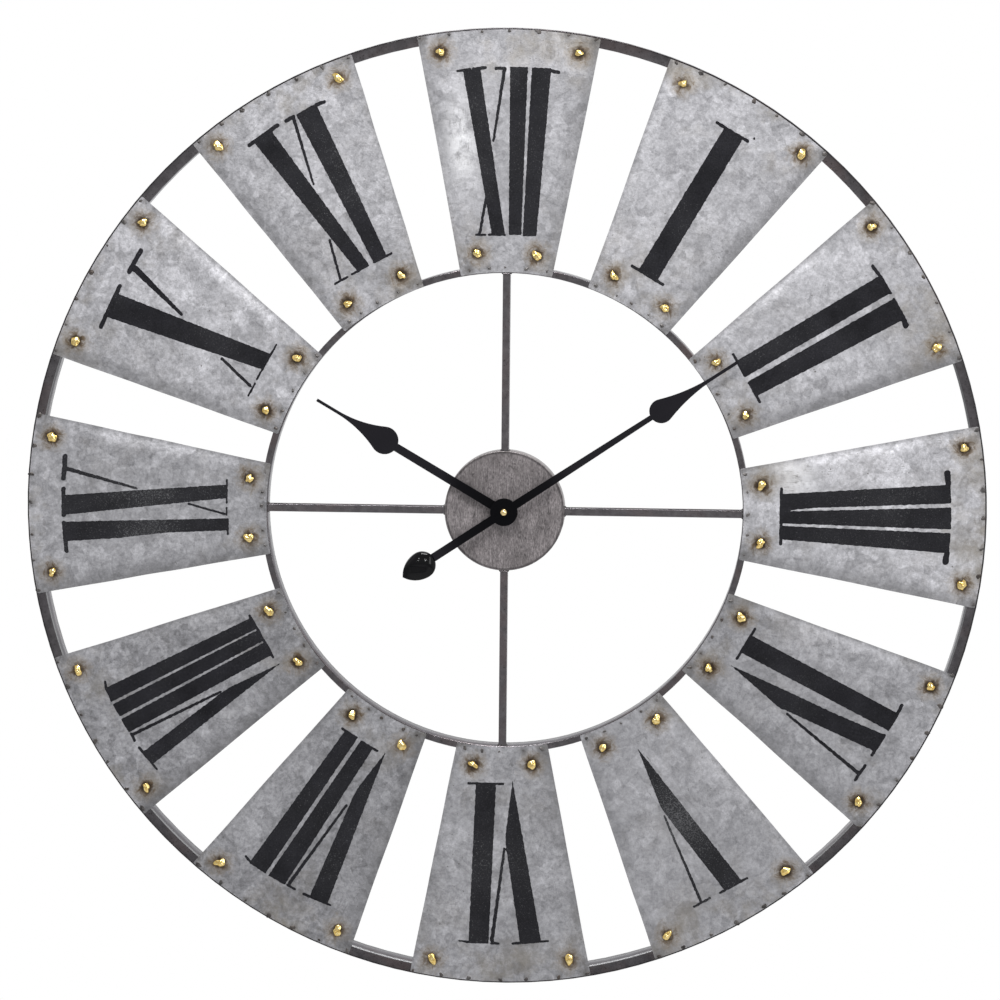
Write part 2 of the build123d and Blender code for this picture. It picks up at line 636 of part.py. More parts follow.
def minute_wheel():
    phase = gap_phase(MINUTE_WHEEL_DIRECTION, MINUTE_WHEEL_TEETH)
    wheel_front = CANNON_BACK + SLIP + WHEEL_THICKNESS
    wheel = gear(
        MINUTE_WHEEL_AT, MINUTE_WHEEL_TEETH, CANNON_MODULE, phase, CANNON_BACK + SLIP, wheel_front,
    )
    wheel += gear(
        MINUTE_WHEEL_AT, MINUTE_PINION_TEETH, HOUR_MODULE, MINUTE_WHEEL_DIRECTION + 180,
        wheel_front, HOUR_WHEEL_FRONT + SLIP,
    )
    knob_end = CASE_BACK - SLIP - KNOB_HEIGHT / 2
    return wheel + rod(MINUTE_WHEEL_AT, MINUTE_WHEEL_ARBOR_R, knob_end, CASE_INSIDE + PIVOT_DEPTH - SLIP)


def hour_wheel():
    phase = gap_phase(MINUTE_WHEEL_DIRECTION + 180, HOUR_WHEEL_TEETH)
    wheel = gear((0, 0), HOUR_WHEEL_TEETH, HOUR_MODULE, phase, HOUR_WHEEL_BACK, HOUR_WHEEL_FRONT)
    pipe_front = HOUR_HAND_BACK + (HAND_THICKNESS + COLLET_LENGTH) / 2
    wheel += rod((0, 0), PIPE_R, HOUR_WHEEL_FRONT, pipe_front)
    return wheel - rod((0, 0), PIPE_BORE_R, HOUR_WHEEL_BACK, pipe_front)


def third_wheel():
    phase = gap_phase(THIRD_DIRECTION, THIRD_PINION_TEETH)
    wheel = gear(
        THIRD_AT, THIRD_TEETH, THIRD_MODULE, ROTOR_DIRECTION, THIRD_WHEEL_BACK, THIRD_WHEEL_FRONT,
    )
    wheel += gear(
        THIRD_AT, THIRD_PINION_TEETH, CENTRE_MODULE, phase, THIRD_WHEEL_FRONT, CENTRE_WHEEL_FRONT + SLIP,
    )
    return wheel + rod(THIRD_AT, TRAIN_ARBOR_R, COVER_INSIDE + SLIP, MIDDLE_PLATE_FRONT - SLIP)


def rotor():
    phase = gap_phase(ROTOR_DIRECTION, ROTOR_PINION_TEETH)
    pinion = gear(
        ROTOR_AT, ROTOR_PINION_TEETH, THIRD_MODULE, phase, MAGNET_FRONT, THIRD_WHEEL_FRONT + SLIP,
    )
    return pinion + rod(ROTOR_AT, TRAIN_ARBOR_R, COVER_INSIDE + SLIP, MIDDLE_PLATE_FRONT - SLIP)


def setting_knob():
    front = CASE_BACK - SLIP
    flutes = PolarLocations(KNOB_R, KNOB_FLUTES) * Circle(KNOB_FLUTE_R)
    outline = Circle(KNOB_R) - flutes
    knob = layer(Pos(*MINUTE_WHEEL_AT) * outline, front - KNOB_HEIGHT, front)
    hole_end = front - KNOB_HEIGHT / 2 - SLIP
    return knob - rod(MINUTE_WHEEL_AT, MINUTE_WHEEL_ARBOR_R + SLIP / 2, hole_end, front)


save("minute_arbor", minute_arbor())
save("centre_wheel", centre_wheel())
save("cannon_pinion", cannon_pinion())
save("minute_wheel", minute_wheel())
save("hour_wheel", hour_wheel())
save("third_wheel", third_wheel())
save("rotor", rotor())
save("rotor_magnet", tube(ROTOR_AT, MAGNET_R, TRAIN_ARBOR_R + SLIP / 2, MAGNET_BACK, MAGNET_FRONT))
save("setting_knob", setting_knob())


# Motor: stator, core and coil

def stator():
    plate = block(STATOR_LEFT, STATOR_RIGHT, STATOR_LOW, STATOR_TOP, STATOR_BACK, STATOR_FRONT)
    inner_left = STATOR_LEFT + STATOR_LEG
    inner_right = STATOR_RIGHT - STATOR_LEG
    plate -= block(inner_left, inner_right, STATOR_BRIDGE_TOP, STATOR_TOP, STATOR_BACK, STATOR_FRONT)
    return plate - rod(ROTOR_AT, MAGNET_R + MAGNET_GAP, STATOR_BACK, STATOR_FRONT)


core_forward = STATOR_FRONT + SLIP + COIL_CORE_R
coil_left = STATOR_LEFT + STATOR_LEG + COIL_END_GAP
coil_right = STATOR_RIGHT - STATOR_LEG - COIL_END_GAP
bobbin_bore = rod_along_x(coil_left, coil_right, COIL_Z, core_forward, COIL_CORE_R + SLIP)
bobbin_tube_r = COIL_CORE_R + SLIP + BOBBIN_WALL
bobbin = rod_along_x(coil_left, coil_right, COIL_Z, core_forward, bobbin_tube_r)
bobbin += rod_along_x(coil_left, coil_left + BOBBIN_FLANGE, COIL_Z, core_forward, BOBBIN_FLANGE_R)
bobbin += rod_along_x(coil_right - BOBBIN_FLANGE, coil_right, COIL_Z, core_forward, BOBBIN_FLANGE_R)
winding_left = coil_left + BOBBIN_FLANGE + SLIP
winding_right = coil_right - BOBBIN_FLANGE - SLIP
winding = rod_along_x(winding_left, winding_right, COIL_Z, core_forward, WINDING_R)
winding_bore = rod_along_x(winding_left, winding_right, COIL_Z, core_forward, bobbin_tube_r + SLIP / 2)
save("stator", stator())
save("coil_core", rod_along_x(STATOR_LEFT, STATOR_RIGHT, COIL_Z, core_forward, COIL_CORE_R))
save("coil_bobbin", bobbin - bobbin_bore)
save("coil_winding", winding - winding_bore)


# Circuit board, crystal, battery and contacts

board_left = BOARD_CENTRE_X - BOARD_WIDTH / 2
board_right = BOARD_CENTRE_X + BOARD_WIDTH / 2
board_top = BOARD_BOTTOM + BOARD_HEIGHT
save("circuit_board", block(board_left, board_right, BOARD_BOTTOM, board_top, BOARD_BACK, BOARD_FRONT))
crystal_forward = BOARD_FRONT + SLIP + CRYSTAL_R
crystal_left = BOARD_CENTRE_X - CRYSTAL_LENGTH / 2
crystal_z = BOARD_BOTTOM + BOARD_HEIGHT / 2
save("quartz_crystal", rod_along_x(
    crystal_left, crystal_left + CRYSTAL_LENGTH, crystal_z, crystal_forward, CRYSTAL_R,
))

battery_left = -(BATTERY_BODY + BATTERY_CAP) / 2
battery_cap_left = battery_left + BATTERY_BODY
battery_right = battery_cap_left + BATTERY_CAP
battery = rod_along_x(battery_left, battery_cap_left, BATTERY_Z, BATTERY_FORWARD, BATTERY_R)
battery += rod_along_x(battery_cap_left, battery_right, BATTERY_Z, BATTERY_FORWARD, BATTERY_CAP_R)
save("battery", battery)


def battery_contact(wall_x, battery_end, strip_x):
    """Spring plate on the bay's end wall, its button and the strip up to the board."""
    inward = -math.copysign(CONTACT_THICKNESS, wall_x)
    left = min(wall_x, wall_x + inward)
    half = CONTACT_SIZE / 2
    back = BATTERY_FORWARD - half
    contact = block(
        left, left + CONTACT_THICKNESS, BATTERY_Z - half, BAY_TOP, back, BATTERY_FORWARD + half,
    )
    face = wall_x + inward
    button_end = battery_end + math.copysign(SLIP, wall_x)
    contact += rod_along_x(
        min(face, button_end), max(face, button_end), BATTERY_Z, BATTERY_FORWARD, BATTERY_CAP_R,
    )
    strip_left = strip_x - CONTACT_THICKNESS / 2
    strip_right = strip_x + CONTACT_THICKNESS / 2
    strip_front = STRIP_BACK + STRIP_WIDTH
    run_left = min(left, strip_left)
    run_right = max(left + CONTACT_THICKNESS, strip_right)
    contact += block(run_left, run_right, BAY_TOP - CONTACT_THICKNESS, BAY_TOP, STRIP_BACK, strip_front)
    top = BOARD_BOTTOM - SLIP
    return contact + block(
        strip_left, strip_right, BAY_TOP - CONTACT_THICKNESS, top, STRIP_BACK, strip_front,
    )


save("contact_plus", battery_contact(CHAMBER_HALF, battery_right, PLUS_STRIP_X))
save("contact_minus", battery_contact(-CHAMBER_HALF, battery_left, MINUS_STRIP_X))
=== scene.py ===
import math
from collections import Counter
from functools import partial

import bmesh
import bpy
import numpy as np
from mathutils import Matrix, Vector
from mathutils.geometry import delaunay_2d_cdt

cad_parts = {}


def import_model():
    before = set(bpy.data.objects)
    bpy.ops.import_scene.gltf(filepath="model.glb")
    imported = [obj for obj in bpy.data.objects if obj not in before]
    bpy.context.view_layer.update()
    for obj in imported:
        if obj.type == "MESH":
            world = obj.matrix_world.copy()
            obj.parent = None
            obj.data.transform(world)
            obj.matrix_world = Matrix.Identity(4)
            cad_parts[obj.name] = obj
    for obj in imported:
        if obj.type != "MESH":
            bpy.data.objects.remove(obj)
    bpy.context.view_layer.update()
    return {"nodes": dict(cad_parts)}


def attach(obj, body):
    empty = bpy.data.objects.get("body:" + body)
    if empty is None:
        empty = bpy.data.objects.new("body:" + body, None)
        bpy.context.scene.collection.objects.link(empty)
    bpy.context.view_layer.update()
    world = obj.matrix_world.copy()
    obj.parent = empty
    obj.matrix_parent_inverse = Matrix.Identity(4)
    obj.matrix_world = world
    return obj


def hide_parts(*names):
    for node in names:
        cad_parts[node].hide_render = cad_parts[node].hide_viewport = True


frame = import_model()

# Looks of an open-frame wall clock. Shapes are worked out in millimetres about the hand axis:
# x to the right, z up and f forward from the wall. place() turns them into the shared frame.
# A plate's own coordinates are v, out along its middle line, and u, to its right.
nodes = frame["nodes"]

MM = 0.001
HOURS = range(1, 13)
HOUR_STEP = 30

AXIS_Z = -372.0
BAR_FRONT = 26.0
BAR_DEPTH = 8.0
BAR_HALF = 3.175
SPOKE_END = 198.0
HUB_R = 50.0
RING_R = 400.0
RING_HOLE = 391.0
RING_FRONT = 22.0
INNER_RING_R = 203.5
INNER_RING_STEP = 4.0
BATTERY_HALF = 25.25

PLATE_IN = 198.7
PLATE_OUT = 398.6
PLATE_FRONT = 23.05
PLATE_SLOPE = INNER_RING_STEP / (PLATE_OUT - INNER_RING_R)
PLATE_HALF_ANGLE = math.radians(11.0)
PLATE_THICKNESS = 1.0
# Some plates lean off their hour, in degrees, or are skewed sideways at their inner end
PLATE_LEANS = {1: 0.45, 4: 0.35, 7: -0.3, 10: -0.65}
PLATE_SKEWS = {1: 1.4, 2: 2.4, 7: -0.7, 8: -2.4, 9: -1.0, 10: -1.4, 11: -4.2}

# First seeds of the random draws. A plate's slow waves take its hour as their seed
CUT_SEED = 20
FINE_WAVE_SEED = 50
COARSE_RAG_SEED = 80
FINE_RAG_SEED = 110
DOT_SEED = 400
TACK_SEED = 500
DOT_STAIN_SEED = 600
TACK_STAIN_SEED = 700
DROP_SEED = 1000
TACK_SHAPE_SEED = 3000
BEAD_SEED = 5000


def place(x, f, z):
    """Points in the shared frame, in metres."""
    return np.stack([x, -f, z + AXIS_Z], axis=-1) * MM


def waves(seed, length, count=7):
    """A smooth field about -1 to 1, made of plane waves of roughly one wavelength."""
    rng = np.random.default_rng(seed)
    heading = rng.uniform(0, 2 * math.pi, count)
    pitch = 2 * math.pi / (length * rng.uniform(0.65, 1.6, count))
    start = rng.uniform(0, 2 * math.pi, count)

    def field(u, v):
        total = 0.0
        for a, k, p in zip(heading, pitch, start):
            total = total + np.sin(k * (u * math.cos(a) + v * math.sin(a)) + p)
        return total / math.sqrt(2 * count)

    return field


def fading(distance, reach):
    """1 at no distance, falling smoothly to about a third at the reach."""
    return np.exp(-((distance / reach) ** 2))


# Materials

def add_node(tree, kind, inputs=(), **settings):
    """A new shader node, each of its inputs linked to a socket or set to a value."""
    made = tree.nodes.new(kind)
    for key, value in settings.items():
        setattr(made, key, value)
    for key, value in dict(inputs).items():
        if isinstance(value, bpy.types.NodeSocket):
            tree.links.new(value, made.inputs[key])
        else:
            made.inputs[key].default_value = value
    return made


def opaque(colour):
    """A colour with its alpha added. A socket stays as it is."""
    return colour if isinstance(colour, bpy.types.NodeSocket) else (*colour, 1)


class Paint:
    """A material whose nodes are built from its coordinates up to its colour and its shader."""

    def __init__(self, name, **sockets):
        self.material = bpy.data.materials.new(name)
        self.material.use_nodes = True
        self.tree = self.material.node_tree
        self.shader = self.tree.nodes["Principled BSDF"]
        for socket, value in sockets.items():
            self.shader.inputs[socket.replace("_", " ")].default_value = value
        self.at = self.node("ShaderNodeTexCoord").outputs["Object"]
        self.colour = None

    def node(self, kind, inputs=(), **settings):
        return add_node(self.tree, kind, inputs, **settings)

    def stretched(self, x, y, z):
        """Coordinates scaled along each axis."""
        return self.node("ShaderNodeMapping", {0: self.at, 3: (x, y, z)}).outputs[0]

    def noise(self, scale, detail=3.0, rough=0.55, bend=0.0, at=None):
        values = {"Vector": at or self.at, "Scale": scale, "Detail": detail}
        values.update({"Roughness": rough, "Distortion": bend})
        return self.node("ShaderNodeTexNoise", values).outputs[0]

    def cells(self, scale, at):
        return self.node("ShaderNodeTexVoronoi", {"Vector": at, "Scale": scale}).outputs["Color"]

    def flakes(self, scale, soft, at):
        """Random tone of each cell, blended softly into its neighbours."""
        values = {"Vector": at, "Scale": scale, "Smoothness": soft}
        return self.node("ShaderNodeTexVoronoi", values, feature="SMOOTH_F1").outputs["Color"]

    def leaves(self, scale, bands, bend):
        """Overlapping leaf shapes: each goes from 0 to 1 and steps back at the next one's border."""
        bands = self.times(self.noise(scale, 2, 0.45, bend), bands)
        return self.sum(bands, 0.0, "FRACT")

    def bent(self, scale, amount):
        """Coordinates pushed about by a noise."""
        values = {"Vector": self.at, "Scale": scale, "Detail": 2.0}
        push = self.node("ShaderNodeTexNoise", values).outputs["Color"]
        push = self.node("ShaderNodeVectorMath", {0: push, 1: (0.5, 0.5, 0.5)}, operation="SUBTRACT")
        push = self.node("ShaderNodeVectorMath", {0: push.outputs[0], 3: amount}, operation="SCALE")
        return self.node("ShaderNodeVectorMath", {0: self.at, 1: push.outputs[0]}).outputs[0]

    def length(self, offset):
        return self.node("ShaderNodeVectorMath", {0: offset}, operation="LENGTH").outputs["Value"]

    def radius(self):
        """Distance from the hand axis."""
        away = self.node("ShaderNodeVectorMath", {0: self.at, 1: (0, 0, -MM * AXIS_Z)}).outputs[0]
        away = self.node("ShaderNodeVectorMath", {0: away, 1: (1, 0, 1)}, operation="MULTIPLY").outputs[0]
        return self.length(away)

    def attribute(self, name, output="Fac"):
        return self.node("ShaderNodeAttribute", attribute_name=name).outputs[output]

    def distance(self, name):
        """Length of a stored offset."""
        return self.length(self.attribute(name, "Vector"))

    def ramp(self, value, *stops):
        """Grey or coloured ramp through (place, level or colour) stops."""
        made = self.node("ShaderNodeValToRGB", {0: value})
        ends = made.color_ramp.elements
        while len(ends) < len(stops):
            ends.new(0.5)
        for end, (where, level) in zip(ends, stops):
            end.position = where
            end.color = (*level, 1) if hasattr(level, "__len__") else (level, level, level, 1)
        return made.outputs[0]

    def spread(self, value, low, high, start=0.0, end=1.0):
        """Goes from low to high as the value goes from start to end, and stays there beyond."""
        return self.node("ShaderNodeMapRange", {0: value, 1: start, 2: end, 3: low, 4: high}).outputs[0]

    def stain(self, distance, reach, core, strength):
        """Full strength within the core, fading to nothing at the reach."""
        return self.spread(distance, strength, 0.0, core, reach)

    def sum(self, a, b, operation="ADD"):
        return self.node("ShaderNodeMath", {0: a, 1: b}, operation=operation).outputs[0]

    def times(self, a, b):
        return self.sum(a, b, "MULTIPLY")

    def mix(self, share, a, b, blend="MIX"):
        """Colour a with a share of b over it, which is a colour or a tone."""
        values = {0: share, 6: opaque(a), 7: opaque(b)}
        return self.node("ShaderNodeMix", values, data_type="RGBA", blend_type=blend).outputs[2]

    def coat(self, share, colour, blend="MIX"):
        """Lay a share of a colour or a tone over the colour so far."""
        self.colour = self.mix(share, self.colour, colour, blend)

    def bump(self, height, strength, distance, under=None):
        values = {"Height": height, "Strength": strength, "Distance": distance}
        if under:
            values["Normal"] = under
        return self.node("ShaderNodeBump", values).outputs[0]

    def finish(self, rough=None, shape=None):
        """The material, with its colour, roughness and relief joined to its shader."""
        for socket, value in (("Base Color", self.colour), ("Roughness", rough), ("Normal", shape)):
            if value is not None:
                self.tree.links.new(value, self.shader.inputs[socket])
        return self.material


def galvanised():
    """Weathered spangle, with heat stains round the braze, soot at the tacks, and a dark line and painted
    shade along the sides.
    """
    p = Paint("galvanised_sheet", Metallic=0.7)
    bent = p.bent(150, 0.009)
    spangle = p.cells(125, bent)
    flakes = p.flakes(60, 0.2, p.bent(90, 0.02))
    mottle = p.noise(34, 6, 0.92, 0.4)
    fine = p.noise(330, 3, 0.8)
    cloud = p.noise(13, 4, 0.6)
    blotch = p.noise(95, 5, 0.72, 0.9)
    tone = p.ramp(mottle, (0.22, 0.65), (0.50, 0.82), (0.80, 0.94))
    tone = p.times(p.spread(fine, 0.38, 1.62), p.times(tone, 1.22))
    tone = p.times(tone, p.ramp(blotch, (0.36, 0.80), (0.45, 0.97), (0.60, 1.0)))
    tone = p.times(tone, p.spread(spangle, 0.84, 1.16))
    tone = p.times(tone, p.spread(flakes, 0.90, 1.10))
    for scale, bands in ((22, 6.5), (44, 4.5)):
        leaf = p.ramp(p.leaves(scale, bands, 0.5), (0.0, 1.0), (0.55, 0.98), (0.95, 0.85), (1.0, 0.96))
        tone = p.times(tone, p.times(leaf, 1.02))
    tone = p.times(tone, p.ramp(cloud, (0.3, 0.80), (0.64, 1.03)))
    tone = p.sum(p.times(p.sum(tone, -1.0), p.attribute("grain")), 1.0)
    # Each plate's own brightness, partly standing in for the light that it catches
    tone = p.times(tone, p.attribute("tone"))
    p.colour = p.mix(1.0, (0.418, 0.415, 0.436), tone, "MULTIPLY")
    along = p.node("ShaderNodeMapping", {0: p.attribute("sheet", "Vector"), 3: (0.9, 0.11, 1)}).outputs[0]
    scratch = p.noise(1.0, 3, 0.65, at=along)
    # Painted highlight: the shine patches are lightened
    painted_highlight = p.times(p.attribute("shine"), p.ramp(p.noise(70, 5, 0.7), (0.34, 0.0), (0.54, 1.0)))
    p.coat(p.times(painted_highlight, 0.85), (0.80, 0.80, 0.82))
    patchy = p.ramp(p.noise(260, 3), (0.40, 0.2), (0.6, 1.0))
    marks = p.times(p.ramp(scratch, (0.57, 0.0), (0.64, 0.8)), patchy)
    p.coat(p.times(p.attribute("shine"), marks), (0.16, 0.155, 0.15))
    patchy = p.ramp(p.noise(26, 3), (0.55, 0.0), (0.65, 1.0))
    scuffs = p.times(p.ramp(scratch, (0.64, 0.0), (0.69, 0.8)), patchy)
    p.coat(scuffs, (0.15, 0.145, 0.14))
    dirt = p.times(p.ramp(p.noise(21, 5, 0.68), (0.50, 0.0), (0.68, 0.75)), p.attribute("grime"))
    p.coat(dirt, (0.22, 0.195, 0.155))
    specks = p.ramp(p.noise(420, 2), (0.68, 0.0), (0.74, 0.85))
    specks = p.times(specks, p.ramp(cloud, (0.45, 0.15), (0.62, 1.0)))
    p.coat(specks, (0.11, 0.10, 0.09))
    splash = p.noise(130, 5, 0.75, 1.2)
    far = p.sum(p.distance("braze"), p.spread(splash, -11.0, 11.0))
    p.coat(p.stain(far, 14.5, 4.0, 0.72), (0.25, 0.20, 0.138))
    p.coat(p.stain(far, 9.0, 3.8, 0.88), (0.095, 0.060, 0.030))
    close = p.sum(p.distance("braze"), p.spread(p.noise(300, 4, 0.7), -4.0, 4.0))
    p.coat(p.stain(close, 6.6, 4.0, 0.92), (0.030, 0.019, 0.011))
    soot = p.sum(p.distance("tack"), p.spread(p.noise(300, 3, 0.7), -2.2, 2.2))
    p.coat(p.stain(soot, 4.6, 1.0, 0.55), (0.085, 0.078, 0.072))
    smears = p.times(p.attribute("corner"), p.ramp(p.noise(110, 5, 0.75), (0.42, 0.0), (0.62, 0.75)))
    p.coat(smears, (0.12, 0.112, 0.105))
    # Dark line along the plate sides, and painted shade reaching further in on the sides that face down or
    # to the right
    edge = p.times(p.attribute("edge"), p.spread(p.noise(40, 3), 0.5, 1.3))
    p.coat(p.ramp(edge, (0.1, 0.0), (1.0, 0.62)), (0.13, 0.128, 0.13))
    rough = p.sum(p.spread(spangle, 0.36, 0.46), p.spread(fine, -0.08, 0.08))
    shape = p.bump(mottle, 0.25, 0.0012)
    shape = p.bump(fine, 0.12, 0.0004, shape)
    return p.finish(rough, shape)


def stencil_paint():
    """Black stencil paint, rubbed through to the metal in specks."""
    p = Paint("numeral_paint", Specular_IOR_Level=0.06)
    worn_where = p.sum(p.ramp(p.noise(15, 4, 0.6), (0.45, 0.0), (0.70, 0.8)), p.attribute("wear"))
    flecks = p.noise(1000, 3, 0.75)
    limit = p.sum(flecks, p.times(worn_where, 0.10))
    worn = p.ramp(limit, (0.645, 0.0), (0.72, 1.0))
    tone = p.times(p.spread(p.noise(900, 2, 0.6), 0.1, 1.9), p.spread(p.noise(36, 3, 0.6), 0.2, 1.8))
    p.colour = p.mix(1.0, (0.0128, 0.0126, 0.0150), tone, "MULTIPLY")
    p.coat(p.times(worn_where, 0.5), (0.027, 0.027, 0.029))
    p.coat(p.times(worn, 0.55), (0.13, 0.13, 0.135))
    rough = p.spread(p.noise(250, 3), 0.55, 0.75)
    shape = p.bump(p.noise(1100, 2), 0.25, 0.0002)
    return p.finish(rough, shape)


def bar_steel(name, dark, light, brown, smooth=0.10, dull_shaded_top=0.0):
    """Rubbed dark steel with brown patches and pits, palest along the outer ring's hole.

    smooth is its least roughness. The last argument takes the shine off the faces that look up and paints
    shade on them.
    """
    p = Paint(name, Metallic=0.9, Specular_Tint=(0.62, 0.62, 0.64, 1))
    streaks = p.noise(150, 4, 0.65)
    cloud = p.noise(30, 4, 0.6)
    p.colour = p.mix(p.ramp(streaks, (0.35, 0.0), (0.68, 1.0)), dark, light)
    p.coat(p.ramp(cloud, (0.48, 0.0), (0.70, 0.7)), brown)
    pits = p.ramp(p.noise(700, 2), (0.62, 0.0), (0.72, 0.8))
    p.coat(pits, (0.03, 0.025, 0.022))
    radius = p.radius()
    lit = p.spread(radius, 1.12, 0.86, RING_HOLE * MM, RING_R * MM)
    rim = p.spread(radius, 1.0, 0.45, (RING_R - 1.6) * MM, (RING_R - 0.8) * MM)
    p.coat(1.0, p.times(lit, rim), "MULTIPLY")
    # Painted shade: faces that look up are darkened, and made rougher
    facing = p.node("ShaderNodeNewGeometry").outputs["Normal"]
    up = p.node("ShaderNodeSeparateXYZ", {0: facing}).outputs[2]
    top = p.times(p.ramp(up, (0.35, 0.0), (0.75, 1.0)), dull_shaded_top)
    p.coat(p.times(top, 0.7), (0.02, 0.019, 0.02))
    rough = p.sum(p.spread(streaks, smooth, smooth + 0.16), p.times(top, 0.7))
    shape = p.bump(p.noise(180, 4), 0.06, 0.0004)
    shape = p.bump(p.noise(900, 2), 0.04, 0.0002, shape)
    return p.finish(rough, shape)


def brushed_hub():
    """Uneven upright brush marks on dark steel, with a dark line inside the rim."""
    p = Paint("hub_steel", Metallic=0.75)
    lines = p.noise(1.0, 4, 0.75, at=p.stretched(520, 520, 85))
    fine = p.noise(1.0, 3, 0.7, at=p.stretched(1000, 1000, 330))
    cloud = p.noise(48, 5, 0.7)
    tone = p.times(p.spread(lines, 0.2, 1.8), p.spread(fine, -0.55, 2.55))
    tone = p.times(tone, p.spread(cloud, 0.35, 1.65))
    p.colour = p.mix(1.0, (0.235, 0.214, 0.217), tone, "MULTIPLY")
    smudge = p.ramp(p.noise(26, 4, 0.65), (0.48, 0.0), (0.72, 0.6))
    p.coat(smudge, (0.13, 0.118, 0.116))
    blots = p.ramp(p.noise(210, 4, 0.7), (0.60, 0.0), (0.70, 0.7))
    p.coat(blots, (0.045, 0.04, 0.04))
    radius = p.sum(p.radius(), p.spread(p.noise(90, 3), -0.0007, 0.0007))
    inner = p.spread(radius, 0.0, 0.65, (HUB_R - 2.6) * MM, (HUB_R - 1.2) * MM)
    outer = p.spread(radius, 1.0, 0.0, (HUB_R - 1.0) * MM, (HUB_R - 0.1) * MM)
    p.coat(p.times(inner, outer), (0.022, 0.02, 0.021))
    rough = p.spread(lines, 0.28, 0.5)
    shape = p.bump(lines, 0.25, 0.0003)
    return p.finish(rough, shape)


def metal(name, dark, light, rough, grain=400, metallic=1.0, strength=0.12):
    """Metal with a fine grain and slow changes of tone."""
    p = Paint(name, Metallic=metallic)
    cloud = p.noise(grain / 8, 3)
    fine = p.noise(grain, 3)
    p.colour = p.mix(p.ramp(cloud, (0.3, 0.0), (0.7, 1.0)), dark, light)
    shape = p.bump(fine, strength, 0.0003)
    return p.finish(p.spread(fine, rough - 0.06, rough + 0.08), shape)


def moulded(name, dark, light, rough, grain=1500):
    """Plastic, rubber or lacquer with a fine surface grain."""
    p = Paint(name)
    cloud = p.noise(grain / 40, 3)
    fine = p.noise(grain, 2)
    p.colour = p.mix(cloud, dark, light)
    shape = p.bump(fine, 0.18, 0.0002)
    return p.finish(p.spread(fine, rough - 0.07, rough + 0.07), shape)


def braze():
    """Bright crumpled drops, brown along their rims."""
    p = Paint("braze_gold", Metallic=1.0)
    lumps = p.noise(500, 3, 0.6)
    soot = p.ramp(p.sum(p.attribute("rim"), p.spread(lumps, -0.12, 0.12)), (0.90, 0.0), (1.0, 0.9))
    p.colour = p.mix(p.ramp(lumps, (0.35, 0.0), (0.6, 1.0)), (0.80, 0.52, 0.13), (1.0, 0.80, 0.36))
    p.coat(soot, (0.09, 0.045, 0.015))
    rough = p.sum(p.spread(p.noise(900, 2), 0.12, 0.26), p.times(soot, 0.3))
    shape = p.bump(lumps, 0.3, 0.0006)
    return p.finish(rough, shape)


def hand_paint():
    """Satin black, blackest at the bosses and easing off by 62 mm along the arms and the tail."""
    p = Paint("hand_black", Specular_IOR_Level=0.06)
    fine = p.noise(1300, 2)
    p.colour = p.mix(p.noise(33, 3), (0.0090, 0.0086, 0.0106), (0.0130, 0.0122, 0.0148))
    near = p.ramp(p.radius(), (0.014, 1.0), (0.044, 0.8), (0.062, 0.0))
    p.coat(near, (0.0016, 0.0016, 0.0022))
    shape = p.bump(fine, 0.18, 0.0002)
    return p.finish(p.spread(fine, 0.29, 0.43), shape)


def hammered_black():
    """Glossy black with an uneven surface that breaks its highlights up."""
    p = Paint("gloss_black", Specular_IOR_Level=0.20)
    p.colour = p.mix(p.noise(60, 3), (0.0012, 0.0012, 0.0016), (0.003, 0.003, 0.0036))
    shape = p.bump(p.noise(120, 0, 0.4), 1.0, 0.0040)
    return p.finish(p.spread(p.noise(400, 2), 0.05, 0.10), shape)


def battery_wrap():
    """Plain cell: dark wrap, copper band and bright ends."""
    p = Paint("battery_wrap", Metallic=0.35)
    along = p.node("ShaderNodeSeparateXYZ", {0: p.at}).outputs[0]
    along = p.spread(along, 0.0, 1.0, -BATTERY_HALF * MM, BATTERY_HALF * MM)
    steel, wrap, copper = (0.6, 0.6, 0.6), (0.02, 0.02, 0.024), (0.48, 0.22, 0.09)
    bands = p.ramp(
        along, (0.0, steel), (0.02, wrap), (0.70, wrap), (0.705, copper), (0.955, copper), (0.96, steel),
    )
    p.colour = p.mix(p.times(p.noise(300, 3), 0.35), bands, (0.05, 0.05, 0.055))
    shape = p.bump(p.noise(700, 2), 0.06, 0.0002)
    return p.finish(p.spread(p.noise(200, 2), 0.25, 0.4), shape)


FINISH = {
    "galvanised_sheet": galvanised(),
    "frame_steel": bar_steel(
        "frame_steel", (0.098, 0.092, 0.098), (0.152, 0.143, 0.151), (0.150, 0.116, 0.115),
    ),
    "hub_steel": brushed_hub(),
    "braze_gold": braze(),
    "hand_black": hand_paint(),
    "gloss_black": hammered_black(),
    "brass": metal("brass", (0.86, 0.64, 0.27), (0.98, 0.80, 0.44), 0.2),
    "rubber": moulded("rubber", (0.014, 0.014, 0.014), (0.026, 0.026, 0.026), 0.75, 900),
    "case_plastic": moulded("case_plastic", (0.014, 0.014, 0.016), (0.022, 0.022, 0.024), 0.5, 1800),
    "gear_plastic": moulded("gear_plastic", (0.64, 0.62, 0.56), (0.74, 0.72, 0.66), 0.45),
    "pinion_brass": metal("pinion_brass", (0.62, 0.44, 0.17), (0.78, 0.58, 0.26), 0.28, 900),
    "bright_steel": metal("bright_steel", (0.55, 0.55, 0.56), (0.68, 0.68, 0.69), 0.22, 700),
    "motor_iron": metal("motor_iron", (0.34, 0.34, 0.35), (0.46, 0.46, 0.47), 0.4, 500),
    "magnet": metal("magnet", (0.05, 0.05, 0.055), (0.075, 0.075, 0.08), 0.5, 800, 0.5),
    "copper_wire": metal("copper_wire", (0.48, 0.19, 0.07), (0.62, 0.28, 0.11), 0.3, 1200),
    "board_green": moulded("board_green", (0.015, 0.13, 0.045), (0.024, 0.18, 0.07), 0.35),
    "crystal_can": metal("crystal_can", (0.6, 0.6, 0.62), (0.74, 0.74, 0.76), 0.24, 600),
    "battery_wrap": battery_wrap(),
}
PAINT = stencil_paint()
